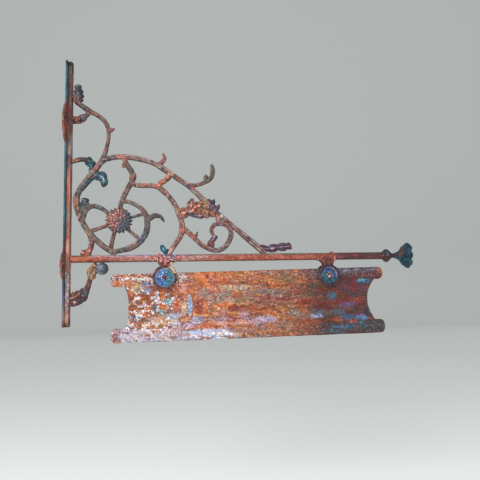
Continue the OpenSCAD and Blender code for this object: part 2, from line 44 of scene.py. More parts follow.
# ------------------------------------------------------------------ camera, stage and light
def make_camera():
    yaw, pitch, roll = math.radians(4.2167), math.radians(4.112), math.radians(-0.7987)
    f0 = Vector((math.sin(yaw), math.cos(yaw), 0))
    r0 = Vector((math.cos(yaw), -math.sin(yaw), 0))
    u0 = Vector((0, 0, 1))
    f = math.cos(pitch) * f0 + math.sin(pitch) * u0
    u2 = -math.sin(pitch) * f0 + math.cos(pitch) * u0
    r = math.cos(roll) * r0 + math.sin(roll) * u2
    u = -math.sin(roll) * r0 + math.cos(roll) * u2
    data = bpy.data.cameras.new("photo_camera")
    data.sensor_fit = "HORIZONTAL"
    data.sensor_width = 36
    data.lens = 423.2974 * 36 / 480
    data.clip_start, data.clip_end = 0.05, 60
    cam = bpy.data.objects.new("photo_camera", data)
    m = Matrix((r, u, -f)).transposed().to_4x4()
    m.translation = Vector((0.3787, -1.14378, -0.03543))
    cam.matrix_world = m
    scene.collection.objects.link(cam)
    scene.camera = cam


make_camera()
scene.view_settings.view_transform = "Standard"
scene.view_settings.look = "None"
scene.view_settings.exposure = 0
scene.view_settings.gamma = 1


# ------------------------------------------------------------------ colour helpers
def lin(c):
    c = np.asarray(c, float) / 255
    return np.where(c <= 0.04045, c / 12.92, ((c + 0.055) / 1.055) ** 2.4)


PAL = {
    "white": (240, 236, 240), "cream": (226, 206, 176), "pale_blue": (160, 186, 220), "sky": (96, 142, 196),
    "lilac": (196, 176, 204), "pink": (226, 164, 160), "salmon": (212, 134, 110), "peach": (226, 160, 112),
    "orange": (208, 112, 48), "fire": (206, 82, 34), "ochre": (196, 138, 66), "rust": (164, 78, 44),
    "brick": (146, 62, 46), "red": (134, 38, 34), "maroon": (92, 36, 42), "plum": (98, 56, 82),
    "violet": (112, 88, 136), "brown": (112, 72, 54), "umber": (76, 52, 44), "olive": (118, 102, 66),
    "moss": (62, 84, 58), "green": (42, 104, 78), "teal": (22, 104, 118), "aqua": (92, 168, 178),
    "petrol": (20, 72, 88), "blue": (30, 84, 148), "navy": (26, 36, 70), "slate": (78, 94, 108),
    "grey": (132, 126, 124), "taupe": (140, 112, 98), "dusty": (158, 112, 98), "rose": (176, 104, 100),
    "ink": (28, 22, 26), "azure": (28, 112, 156), "clay": (150, 96, 76), "mud": (104, 80, 72),
}
LIN = {k: lin(v) for k, v in PAL.items()}


def lerp(a, b, w):
    w = np.asarray(w)[..., None]
    return a * (1 - w) + b * w


def step(a, b, x):
    t = np.clip((x - a) / (b - a), 0, 1)
    return t * t * (3 - 2 * t)


# ------------------------------------------------------------------ smooth noise in numpy
def _hash(ix, iy, iz, seed):
    h = (ix * 374761393 + iy * 668265263 + iz * 1442695041 + seed * 974634777) & 0xFFFFFFFF
    h = ((h ^ (h >> 13)) * 1274126177) & 0xFFFFFFFF
    h = ((h ^ (h >> 15)) * 2246822519) & 0xFFFFFFFF
    return ((h ^ (h >> 16)) & 0xFFFFFF) / float(0xFFFFFF)


def noise(P, size, seed=0):
    """Value noise from -1 to 1, one lump about size mm across; size may be one number or three."""
    q = np.asarray(P, float) / np.asarray(size, float) + 37.3 * (seed % 17)
    i = np.floor(q).astype(np.int64)
    f = q - i
    f = f * f * f * (f * (f * 6 - 15) + 10)
    out = 0
    for dx in (0, 1):
        wx = f[:, 0] if dx else 1 - f[:, 0]
        for dy in (0, 1):
            wy = f[:, 1] if dy else 1 - f[:, 1]
            for dz in (0, 1):
                wz = f[:, 2] if dz else 1 - f[:, 2]
                out = out + wx * wy * wz * _hash(i[:, 0] + dx, i[:, 1] + dy, i[:, 2] + dz, seed)
    return out * 2 - 1


def fbm(P, size, seed=0, octaves=3, gain=0.55):
    size = np.asarray(size, float)
    total, amp, norm = 0, 1.0, 0
    for k in range(octaves):
        total = total + amp * noise(P, size / 2.07 ** k, seed + 11 * k)
        norm += amp
        amp *= gain
    return total / norm * 1.5


# ------------------------------------------------------------------ paint on a surface
def paint(P, seed, main, second, dark, light, crest, patches=(), mottle=13.0, hollow_shade_amt=0.75, highlight_amt=0.7,
          glint_and_grime_specks=0.5, third=None, under="petrol", contrast=0.5):
    """Weathered paint: two mottled colours, painted shade in the hollows and at the edges, painted highlight and white
    glints where the metal stands proud, dark grime dots, and listed patches (x, z, radius, colour, strength)."""
    a = fbm(P, mottle, seed, 3)
    b = fbm(P, mottle * 0.38, seed + 5, 3)
    c = fbm(P, 2.4, seed + 9, 2)
    m = fbm(P, 5.4, seed + 31, 2)
    col = lerp(LIN[main][None, :], LIN[second][None, :], step(-0.25, 0.35, a + 0.3 * b))
    if third:
        col = lerp(col, LIN[third][None, :], step(0.15, 0.5, fbm(P, mottle * 0.8, seed + 21, 3)) * 0.85)
    for k, (x, z, r, name, s) in enumerate(patches):
        d = np.hypot(P[:, 0] - x, P[:, 2] - z) / r + 0.28 * b
        col = lerp(col, LIN[name][None, :], s * (1 - step(0.62, 1.12, d)))
    # Painted shade: darker in the hollows and along the sides of a bar, petrol blue in the deepest of it.
    hollow = np.clip(1 - crest + 0.22 * b, 0, 1)
    col = lerp(col, LIN[dark][None, :], hollow_shade_amt * step(0.30, 0.80, hollow))
    col = lerp(col, LIN[under][None, :], 0.8 * step(0.40, 0.85, hollow) * step(-0.25, 0.3, fbm(P, 9, seed + 33, 3)))
    # Painted highlight: the pale colour where the metal stands proud.
    col = lerp(col, LIN[light][None, :], highlight_amt * step(0.80, 1.10, crest + 0.24 * m) * step(-0.4, 0.35, b))
    col = col * np.clip(1 + contrast * m, 0.25, 2.2)[:, None]
    # Painted glints: white dots on the high places; the ink dots after them are grime.
    col = lerp(col, LIN["white"][None, :], glint_and_grime_specks * step(0.42, 0.75, m + 0.3 * c) * step(0.6, 0.95, crest))
    col = lerp(col, LIN["ink"][None, :], glint_and_grime_specks * 1.2 * step(0.40, 0.75, -m - 0.3 * c) * step(-0.3, 0.3, -a))
    return np.clip(col * (1 + 0.14 * c)[:, None], 0, 1)


# ------------------------------------------------------------------ meshes
def grid_quads(rows, cols, wrap=False, start=0, flip=False):
    """Quads over a grid of rows x cols vertices, closed in the second direction if wrap."""
    i = np.arange(rows - 1)[:, None] * cols
    j = np.arange(cols if wrap else cols - 1)[None, :]
    j2 = (j + 1) % cols
    q = np.stack([i + j, i + j2, i + cols + j2, i + cols + j], -1).reshape(-1, 4) + start
    return q[:, ::-1] if flip else q


def outward(V, quads, tris):
    """The same faces, turned so that a closed shell's faces look outward."""
    quads = np.asarray(quads, np.int64).reshape(-1, 4)
    tris = np.asarray(tris, np.int64).reshape(-1, 3)
    T = np.concatenate([quads[:, [0, 1, 2]], quads[:, [0, 2, 3]], tris])
    W = np.asarray(V, float) - np.asarray(V, float).mean(0)
    if np.einsum("ij,ij->i", W[T[:, 0]], np.cross(W[T[:, 1]], W[T[:, 2]])).sum() < 0:
        return quads[:, ::-1], tris[:, ::-1]
    return quads, tris


def weld(V, quads, tris, col, crest):
    """Joins vertices that lie in one place, as at the pole of a turned shape, and drops faces without area."""
    quads = np.asarray(quads, np.int64).reshape(-1, 4)
    tris = np.asarray(tris, np.int64).reshape(-1, 3)
    col = np.broadcast_to(col, (len(V), 3))
    crest = np.broadcast_to(crest, (len(V),))
    first, back = np.unique(np.round(V * 1e4).astype(np.int64), axis=0, return_index=True, return_inverse=True)[1:]
    back = back.ravel()
    Q, T = back[quads], back[tris]
    same = np.stack([Q[:, k] == Q[:, (k + 1) % 4] for k in range(4)], 1)
    T = np.concatenate([T] + [np.delete(Q[(same.sum(1) == 1) & same[:, k]], k, 1) for k in range(4)])
    T = T[(T[:, 0] != T[:, 1]) & (T[:, 1] != T[:, 2]) & (T[:, 2] != T[:, 0])]
    return V[first], Q[same.sum(1) == 0], T, col[first], crest[first]


def make(name, V, quads, tris, col, crest, nodes, body, material, turned_out=False):
    V = np.asarray(V, float)
    if not turned_out:
        quads, tris = outward(V, quads, tris)
    V, quads, tris, col, crest = weld(V, quads, tris, col, crest)
    me = bpy.data.meshes.new(name)
    quads = np.asarray(quads, np.int32).reshape(-1, 4)
    tris = np.asarray(tris, np.int32).reshape(-1, 3)
    me.vertices.add(len(V))
    me.vertices.foreach_set("co", (V * MM).astype(np.float32).ravel())
    loops = np.concatenate([quads.ravel(), tris.ravel()])
    me.loops.add(len(loops))
    me.loops.foreach_set("vertex_index", loops)
    starts = np.concatenate([np.arange(len(quads)) * 4, len(quads) * 4 + np.arange(len(tris)) * 3]).astype(np.int32)
    me.polygons.add(len(starts))
    me.polygons.foreach_set("loop_start", starts)
    me.polygons.foreach_set("use_smooth", np.ones(len(starts), bool))
    me.update(calc_edges=True)
    me.validate()
    dress(me, col, crest)
    o = bpy.data.objects.new(name, me)
    scene.collection.objects.link(o)
    me.materials.append(material)
    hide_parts(*nodes)
    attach(o, body)
    return o


def dress(me, col, crest):
    a = me.color_attributes.new(name="paint", type="FLOAT_COLOR", domain="POINT")
    rgba = np.ones((len(me.vertices), 4), np.float32)
    rgba[:, :3] = col
    a.data.foreach_set("color", rgba.ravel())
    b = me.attributes.new("crest", "FLOAT", "POINT")
    b.data.foreach_set("value", np.asarray(crest, np.float32) * np.ones(len(me.vertices), np.float32))


class Parts:
    """Collects the shells of one piece."""

    def __init__(self):
        self.V, self.Q, self.T, self.C, self.K, self.n = [], [], [], [], [], 0

    def add(self, V, quads, tris, col, crest):
        quads, tris = outward(V, quads, tris)
        self.V.append(V)
        if len(quads):
            self.Q.append(np.asarray(quads) + self.n)
        if len(tris):
            self.T.append(np.asarray(tris) + self.n)
        self.C.append(np.broadcast_to(col, (len(V), 3)))
        self.K.append(np.broadcast_to(crest, (len(V),)))
        self.n += len(V)

    def make(self, name, nodes, body, slot, material):
        return make(name, np.concatenate(self.V), np.concatenate(self.Q) if self.Q else [],
                    np.concatenate(self.T) if self.T else [], np.concatenate(self.C), np.concatenate(self.K),
                    nodes, body, material, True)


def route(P, n=14, i0=0, i1=None):
    """The scroll's smooth route, as in the construction: x, z, radius."""
    P = np.asarray(P, float)
    i1 = len(P) - 1 if i1 is None else i1
    out = []
    for i in range(i0, i1):
        a, b, c, d = P[max(i - 1, 0)], P[i], P[i + 1], P[min(i + 2, len(P) - 1)]
        for k in range(n):
            t = k / n
            out.append(0.5 * (2 * b + (c - a) * t + (2 * a - 5 * b + 4 * c - d) * t ** 2 + (3 * b - a - 3 * c + d) * t ** 3))
    out.append(P[i1])
    return np.array(out)


def even(S, gap):
    """The same line with even spacing."""
    s = np.concatenate([[0], np.cumsum(np.hypot(*np.diff(S[:, :2], axis=0).T))])
    n = max(4, int(round(s[-1] / gap)))
    u = np.linspace(0, s[-1], n + 1)
    return np.stack([np.interp(u, s, S[:, k]) for k in range(S.shape[1])], 1), u


def headings(S):
    d = np.gradient(S[:, :2], axis=0)
    return d / np.linalg.norm(d, axis=1)[:, None]


# ------------------------------------------------------------------ shapes
def along(u, spec, base=0.0):
    """A value along a scroll: base, raised to amount a around centre c within half width h, for each (c, h, a)."""
    w = np.full(len(u), float(base))
    for c, h, a in spec:
        k = 1 - step(0.55, 1.15, np.abs(u - c) / h)
        w = w * (1 - k) + a * k
    return w


def tube(P, i0=0, i1=None, sides=30, gap=1.4, groove=0.2, groove_at=(), twist_at=(), ribs_at=(), bulge_at=(),
         flat=0.06, seed=0, rough=1.0, scale=1.0, depth=1.0):
    """A forged bar along a route. groove splits it into two strands, front and back; twist winds it like rope;
    ribs ring it; bulge swells it. Returns vertices, quads, triangles, crest and the place along it from 0 to 1."""
    S, s = even(route(P, 14, i0, i1), gap)
    t = headings(S)
    r_end = (S[0, 2], S[-1, 2])
    caps = np.radians([78, 60, 40, 20])
    pos = np.concatenate([[S[0, :2] - t[0] * 0.55 * r_end[0] * math.sin(c) for c in caps], S[:, :2],
                          [S[-1, :2] + t[-1] * 0.55 * r_end[1] * math.sin(c) for c in caps[::-1]]])
    rad = np.concatenate([[r_end[0] * math.cos(c) for c in caps], S[:, 2], [r_end[1] * math.cos(c) for c in caps[::-1]]])
    tt = np.concatenate([np.repeat(t[:1], 4, 0), t, np.repeat(t[-1:], 4, 0)])
    ss = np.concatenate([np.full(4, 0.0), s, np.full(4, s[-1])])
    u = ss / s[-1]
    a = 2 * math.pi * np.arange(sides) / sides
    ca, sa = np.cos(a), np.sin(a)
    G = along(u, groove_at, groove)[:, None]
    W = along(u, twist_at)[:, None]
    B = along(u, ribs_at)[:, None]
    U = along(u, bulge_at)[:, None]
    split = np.exp(-(ca / 0.3) ** 2)[None, :]
    rope = 0.5 - 0.5 * np.cos(2 * (a[None, :] - ss[:, None] * 2 * math.pi / 34))
    rings = (0.5 - 0.5 * np.cos(2 * math.pi * ss / 4.6))[:, None]
    facet = (np.sin(2 * a) ** 2)[None, :]
    cut = G * split * (1 - W / 0.3 * 0.8) + W * rope ** 2 + B * rings ** 2 + flat * facet
    R = rad[:, None] * (1 - cut) * (1 + U) * scale

    def place(R):
        x = pos[:, :1] + R * ca * tt[:, 1:2]
        y = R * sa * depth
        z = pos[:, 1:2] - R * ca * tt[:, :1]
        return np.stack([x, y, z], -1).reshape(-1, 3)

    V = place(R)
    amp = np.minimum(1, np.repeat(rad, sides) / 5)
    lump = (0.34 * fbm(V, 6.5, seed, 3) + 0.16 * fbm(V, 2.1, seed + 3, 2)) * amp * rough
    V = place(R + lump.reshape(R.shape))
    # crest falls towards the bar's sides and into its grooves: paint() lays painted shade there and painted highlight
    # along the front.
    crest = 1 - np.clip(cut / 0.22, 0, 1) * 0.95 - 0.72 * (np.abs(ca) ** 2.2)[None, :] + 0.35 * lump.reshape(R.shape)
    rows = len(pos)
    quads = grid_quads(rows, sides, True)
    V = np.concatenate([V, [[pos[0, 0] - t[0, 0] * 0.02, 0, pos[0, 1] - t[0, 1] * 0.02]],
                        [[pos[-1, 0] + t[-1, 0] * 0.02, 0, pos[-1, 1] + t[-1, 1] * 0.02]]])
    n0, n1 = rows * sides, rows * sides + 1
    k = np.arange(sides)
    k2 = (k + 1) % sides
    tris = np.concatenate([np.stack([k2, k, np.full(sides, n0)], 1),
                           np.stack([(rows - 1) * sides + k, (rows - 1) * sides + k2, np.full(sides, n1)], 1)])
    crest = np.concatenate([crest.ravel(), [0.6, 0.6]])
    uu = np.concatenate([np.repeat(u, sides), [0, 1]])
    return V, quads, tris, crest, uu


def leaf_w(u, w, lobes, root, blunt=0.0):
    b = u * (1 - blunt)
    body = root * (1 - b) ** 2 + w * np.sin(np.pi * np.minimum(1, b ** 0.8)).clip(0) ** 0.7
    return np.maximum(0.02 * w, body * (0.74 + 0.26 * np.abs(np.sin(np.pi * lobes * u))))


def leaf(P, w, lobes, root, t=8.0, cols=17, seed=0, fold=1.0, cup=0.0, nick=0.10, n=18, wide=1.04, lean=0.0, blunt=0.0):
    """A forged leaf: lobed edge, midrib, a vein in each lobe and fine ribs between, both sides."""
    S = route([[p[0], p[1], 0] for p in P], n)
    m = len(S)
    u = np.linspace(0, 1, m)
    tt = headings(S)
    h = leaf_w(u, w, lobes, root, blunt) * (1 - nick * (1 - np.abs(np.sin(np.pi * lobes * u))) ** 2) * wide
    if blunt:
        h = h * np.sqrt(np.clip(1 - ((u - 0.9).clip(0) / 0.102) ** 2, 0, 1))
    v = np.sin(np.linspace(-np.pi / 2, np.pi / 2, cols))
    U, Vv = np.meshgrid(u, v, indexing="ij")
    av = np.abs(Vv)
    lobe = np.sin(np.pi * lobes * np.clip(U + 0.05 * av, 0, 1)) ** 2
    veins = 0.5 * (lobe - 0.5) * av ** 0.6 * (1 - av ** 5)
    fine = 0.22 * np.cos(2 * np.pi * lobes * 3 * (U + 0.16 * av)) * av ** 0.8
    mid = 0.75 * np.exp(-(Vv / 0.13) ** 2) - 0.45 * np.exp(-((av - 0.3) / 0.12) ** 2)
    tip = np.clip((1 - U) * 6, 0.25, 1) * np.clip(U * 8 + 0.5, 0.5, 1)
    relief = (veins * 1.5 + fine + mid) * fold * tip
    thick = t / 2 * (0.30 + 0.62 * (1 - av ** 2.4)) * (0.72 + 0.28 * tip)
    bend = cup * (U ** 2) * 1.4 + lean * Vv
    x = S[:, :1] - tt[:, 1:2] * h[:, None] * v
    z = S[:, 1:2] + tt[:, :1] * h[:, None] * v
    front = np.stack([x, -thick - relief * 0.62 + bend, z], -1)
    back = np.stack([x, thick + relief * 0.62 + bend, z], -1)[:, ::-1]
    ring = np.concatenate([front, back], 1)
    k = 2 * cols
    V = ring.reshape(-1, 3)
    V = V + np.stack([0.14 * fbm(V, 3, seed + 1, 2), 0.3 * fbm(V, 4, seed, 3), 0.14 * fbm(V, 3, seed + 2, 2)], 1)
    rel = np.concatenate([relief, relief[:, ::-1]], 1)
    edge = np.concatenate([av, av[:, ::-1]], 1)
    # crest falls at the leaf's edges and rises on midrib and veins: paint() turns this into painted shade and painted
    # highlight.
    crest = (0.62 + 0.5 * rel - 0.42 * edge ** 4).ravel()
    quads = grid_quads(m, k, True)
    V = np.concatenate([V, [V[:k].mean(0)], [V[-k:].mean(0)]])
    j = np.arange(k)
    j2 = (j + 1) % k
    tris = np.concatenate([np.stack([j2, j, np.full(k, m * k)], 1),
                           np.stack([(m - 1) * k + j, (m - 1) * k + j2, np.full(k, m * k + 1)], 1)])
    return V, quads, tris, np.concatenate([crest, [0.6, 0.6]])


def turned(profile, centre, axis="x", sign=1, segs=64, gap=0.8, seed=0, lumps=0.16, wave=None):
    """A turned shape: profile is (along, radius) pairs. Returns vertices, quads, triangles, crest, along, radius, angle."""
    p = np.asarray(profile, float)
    s = np.concatenate([[0], np.cumsum(np.hypot(*np.diff(p, axis=0).T))])
    n = max(8, int(s[-1] / gap))
    q = np.linspace(0, s[-1], n + 1)
    q = np.unique(np.concatenate([q, s]))
    A, R = np.interp(q, s, p[:, 0]), np.interp(q, s, p[:, 1])
    soft = lambda y: np.concatenate([y[:1], 0.25 * y[:-2] + 0.5 * y[1:-1] + 0.25 * y[2:], y[-1:]])
    A, R = soft(A), soft(R)
    closed0, closed1 = R[0] < 1e-6, R[-1] < 1e-6
    th = 2 * math.pi * np.arange(segs) / segs
    rr, aa = np.meshgrid(R, th, indexing="ij")
    al = np.repeat(A[:, None], segs, 1)
    if wave is not None:
        al, rr = wave(al, rr, aa)
    dR, dA = np.gradient(R), np.gradient(A)
    ln = np.hypot(dR, dA) + 1e-9

    def place(al, rr):
        c, d = rr * np.cos(aa), rr * np.sin(aa)
        if axis == "x":
            v = np.stack([sign * al, c, d], -1)
        else:
            v = np.stack([c, sign * al, d], -1)
        return v.reshape(-1, 3) + np.asarray(centre, float)

    V = place(al, rr)
    f = (lumps * fbm(V, 5, seed, 3) + 0.5 * lumps * fbm(V, 1.9, seed + 4, 2)).reshape(rr.shape)
    f = f * np.clip(rr / 3, 0, 1)
    V = place(al - f * (dR / ln)[:, None], np.maximum(0, rr + f * (dA / ln)[:, None]))
    flat = np.interp(q, np.linspace(0, s[-1], 90), np.interp(np.linspace(0, s[-1], 90), q, R))
    wide = np.convolve(np.pad(R, 6, mode="edge"), np.ones(13) / 13, "valid")
    wideA = np.convolve(np.pad(A, 6, mode="edge"), np.ones(13) / 13, "valid")
    bump = ((R - wide) * dA - (A - wideA) * dR) / ln
    crest = np.clip(0.62 + 0.9 * bump, 0, 1.1)[:, None] + 0.5 * f + 0 * flat[:, None]
    quads = grid_quads(len(R), segs, True, flip=(sign * (1 if axis == "x" else -1)) < 0)
    tris = []
    k = np.arange(segs)
    k2 = (k + 1) % segs
    extra = []
    base = len(V)
    for first, shut in ((True, closed0), (False, closed1)):
        row = 0 if first else (len(R) - 1) * segs
        c = V[row:row + segs].mean(0)
        extra.append(c)
        idx = np.full(segs, base + len(extra) - 1)
        turn = first ^ ((sign * (1 if axis == "x" else -1)) < 0)
        tris.append(np.stack([row + k2, row + k, idx] if turn else [row + k, row + k2, idx], 1))
    V = np.concatenate([V, extra])
    crest = np.concatenate([crest.ravel(), [0.6, 0.6]])
    cat = lambda x, e: np.concatenate([x.ravel(), e])
    return (V, quads, np.concatenate(tris), crest, cat(al, [A[0], A[-1]]), cat(rr, [0, 0]), cat(aa, [0, 0]))


def curvature(V, N, E, rounds=2):
    """About 0.6 on a flat face, more where the surface stands proud and less in its hollows."""
    n = len(V)
    cnt = np.bincount(E.ravel(), minlength=n).astype(float)

    def mean(x):
        a = np.bincount(E[:, 0], x[E[:, 1]], n) + np.bincount(E[:, 1], x[E[:, 0]], n)
        return a / np.maximum(cnt, 1)

    M = np.stack([mean(V[:, k]) for k in range(3)], 1)
    H = ((V - M) * N).sum(1)
    for _ in range(rounds):
        H = 0.5 * H + 0.5 * mean(H)
    return H


def worn(node, voxel, painter, material, body="bracket", soft=3, lumps=0.3, size=6.0, seed=0, name=None,
         carve=None, gain=7.0):
    """A piece built from its solid's own surface: remade as an even skin, softened at its edges, hammered and
    pitted, then painted. painter(V, N, crest) gives the colours; carve(V, N) an extra depth in mm."""
    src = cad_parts[node]
    me = src.data.copy()
    o = bpy.data.objects.new("skin", me)
    scene.collection.objects.link(o)
    m = o.modifiers.new("even", "REMESH")
    m.mode = "VOXEL"
    m.voxel_size = voxel * MM
    m.adaptivity = 0
    k = o.modifiers.new("soft", "SMOOTH")
    k.factor = 0.5
    k.iterations = soft
    bpy.context.view_layer.update()
    out = bpy.data.meshes.new_from_object(o.evaluated_get(bpy.context.evaluated_depsgraph_get()))
    bpy.data.objects.remove(o)
    bpy.data.meshes.remove(me)
    n = len(out.vertices)
    V = np.zeros(n * 3, np.float32)
    N = np.zeros(n * 3, np.float32)
    E = np.zeros(len(out.edges) * 2, np.int32)
    out.vertices.foreach_get("co", V)
    out.vertex_normals.foreach_get("vector", N)
    out.edges.foreach_get("vertices", E)
    V, N, E = V.reshape(-1, 3).astype(float) / MM, N.reshape(-1, 3).astype(float), E.reshape(-1, 2)
    H = curvature(V, N, E)
    d = lumps * (0.8 * fbm(V, size, seed, 3) + 0.4 * fbm(V, size * 0.34, seed + 5, 2))
    if carve is not None:
        d = d + carve(V, N)
    V = V + N * d[:, None]
    crest = np.clip(0.62 + gain * H / voxel + 0.5 * d, 0, 1.15)
    out.vertices.foreach_set("co", (V * MM).astype(np.float32).ravel())
    out.polygons.foreach_set("use_smooth", np.ones(len(out.polygons), bool))
    out.materials.clear()
    out.materials.append(material)
    out.update()
    dress(out, painter(V, N, crest), crest)
    out.name = name or node + "_worn"
    o = bpy.data.objects.new(name or node + "_worn", out)
    scene.collection.objects.link(o)
    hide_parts(node)
    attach(o, body)
    return o


# ------------------------------------------------------------------ materials
def ramp(nt, stops, interp="LINEAR"):
    r = nt.nodes.new("ShaderNodeValToRGB")
    r.color_ramp.interpolation = interp
    e = r.color_ramp.elements
    while len(e) < len(stops):
        e.new(0.5)
    for el, (p, c) in zip(e, stops):
        el.position = p
        el.color = (c, c, c, 1) if np.isscalar(c) else (*c, 1)
    return r


def noise_node(nt, co, scale, detail=5, rough=0.6, distortion=0.0):
    n = nt.nodes.new("ShaderNodeTexNoise")
    n.inputs["Scale"].default_value = scale
    n.inputs["Detail"].default_value = detail
    n.inputs["Roughness"].default_value = rough
    n.inputs["Distortion"].default_value = distortion
    nt.links.new(co, n.inputs["Vector"])
    return n


def mix(nt, a, b, fac, mode="MIX"):
    m = nt.nodes.new("ShaderNodeMix")
    m.data_type = "RGBA"
    m.blend_type = mode
    for sock, v in ((m.inputs[6], a), (m.inputs[7], b), (m.inputs[0], fac)):
        if isinstance(v, bpy.types.NodeSocket):
            nt.links.new(v, sock)
        elif np.isscalar(v):
            sock.default_value = v
        else:
            sock.default_value = (*v, 1)
    return m.outputs[2]


def math_node(nt, op, a, b=None, clamp=False):
    m = nt.nodes.new("ShaderNodeMath")
    m.operation = op
    m.use_clamp = clamp
    for sock, v in zip(m.inputs, (a, b)):
        if isinstance(v, bpy.types.NodeSocket):
            nt.links.new(v, sock)
        elif v is not None:
            sock.default_value = v
    return m.outputs[0]


def weathered(name, rough=0.6, spread=0.18, bump=0.55, rust=0.35, rust_col="umber", flake_and_glint=0.25, flake_and_glint_col="cream",
              metallic=0.0, specular=0.35, stretch=(1, 1, 1), fine=430, mid=120, vary=0.8, chip=0.0, chip_col="rust"):
    """Old paint over iron: the painted colours, broken up by fine grain, rust that gathers in the hollows, pale paint
    flakes leaning to the high places that also stand in as painted glints, chips down to the metal, and pitted, uneven
    gloss."""
    mat = bpy.data.materials.new(name)
    mat.use_nodes = True
    nt = mat.node_tree
    bsdf = next(n for n in nt.nodes if n.type == "BSDF_PRINCIPLED")
    tc = nt.nodes.new("ShaderNodeTexCoord")
    mp = nt.nodes.new("ShaderNodeMapping")
    mp.inputs["Scale"].default_value = stretch
    nt.links.new(tc.outputs["Object"], mp.inputs["Vector"])
    co = mp.outputs["Vector"]
    at = nt.nodes.new("ShaderNodeAttribute")
    at.attribute_name = "paint"
    cr = nt.nodes.new("ShaderNodeAttribute")
    cr.attribute_name = "crest"
    fine_n = noise_node(nt, co, fine, 6, 0.65)
    mid_n = noise_node(nt, co, mid, 5, 0.6, 0.4)
    big_n = noise_node(nt, co, mid * 0.3, 4, 0.55)
    pit = nt.nodes.new("ShaderNodeTexVoronoi")
    pit.inputs["Scale"].default_value = fine * 1.5
    nt.links.new(co, pit.inputs["Vector"])
    grain = ramp(nt, [(0.28, (0.50, 0.47, 0.46)), (0.46, (0.92, 0.90, 0.90)), (0.60, (1.12, 1.10, 1.08)), (0.76, (1.5, 1.46, 1.42))])
    nt.links.new(fine_n.outputs["Fac"], grain.inputs["Fac"])
    c = mix(nt, at.outputs["Color"], grain.outputs["Color"], vary, "MULTIPLY")
    warm = ramp(nt, [(0.30, (0.84, 0.92, 1.04)), (0.5, (1.0, 1.0, 1.0)), (0.70, (1.12, 0.98, 0.86))])
    nt.links.new(big_n.outputs["Fac"], warm.inputs["Fac"])
    c = mix(nt, c, warm.outputs["Color"], 0.8, "MULTIPLY")
    low = math_node(nt, "SUBTRACT", 1.0, cr.outputs["Fac"], True)
    r_in = math_node(nt, "ADD", math_node(nt, "MULTIPLY", low, 0.45), mid_n.outputs["Fac"])
    r_mask = ramp(nt, [(0.62, 0.0), (0.80, 1.0)])
    nt.links.new(r_in, r_mask.inputs["Fac"])
    c = mix(nt, c, LIN[rust_col], math_node(nt, "MULTIPLY", r_mask.outputs["Color"], rust))
    # Pale dots leaning to the high places: partly paint flakes, partly painted glints.
    f_in = math_node(nt, "ADD", math_node(nt, "MULTIPLY", cr.outputs["Fac"], 0.16), fine_n.outputs["Fac"])
    f_mask = ramp(nt, [(0.72, 0.0), (0.80, 1.0)])
    nt.links.new(f_in, f_mask.inputs["Fac"])
    c = mix(nt, c, LIN[flake_and_glint_col], math_node(nt, "MULTIPLY", f_mask.outputs["Color"], flake_and_glint))
    if chip:
        ch = noise_node(nt, co, mid * 0.62, 7, 0.68, 0.8)
        c_mask = ramp(nt, [(0.585, 0.0), (0.605, 1.0)])
        nt.links.new(ch.outputs["Fac"], c_mask.inputs["Fac"])
        c = mix(nt, c, LIN[chip_col], math_node(nt, "MULTIPLY", c_mask.outputs["Color"], chip))
    nt.links.new(c, bsdf.inputs["Base Color"])
    rr = ramp(nt, [(0.3, max(0.15, rough - spread)), (0.7, min(1.0, rough + spread))])
    nt.links.new(mid_n.outputs["Fac"], rr.inputs["Fac"])
    nt.links.new(rr.outputs["Color"], bsdf.inputs["Roughness"])
    bsdf.inputs["Metallic"].default_value = metallic
    bsdf.inputs["Specular IOR Level"].default_value = specular
    h = math_node(nt, "ADD", math_node(nt, "MULTIPLY", fine_n.outputs["Fac"], 0.55),
                  math_node(nt, "MULTIPLY", pit.outputs["Distance"], 0.3))
    h = math_node(nt, "ADD", h, math_node(nt, "MULTIPLY", mid_n.outputs["Fac"], 0.8))
    b = nt.nodes.new("ShaderNodeBump")
    b.inputs["Strength"].default_value = bump
    b.inputs["Distance"].default_value = 0.0011
    nt.links.new(h, b.inputs["Height"])
    nt.links.new(b.outputs["Normal"], bsdf.inputs["Normal"])
    return mat


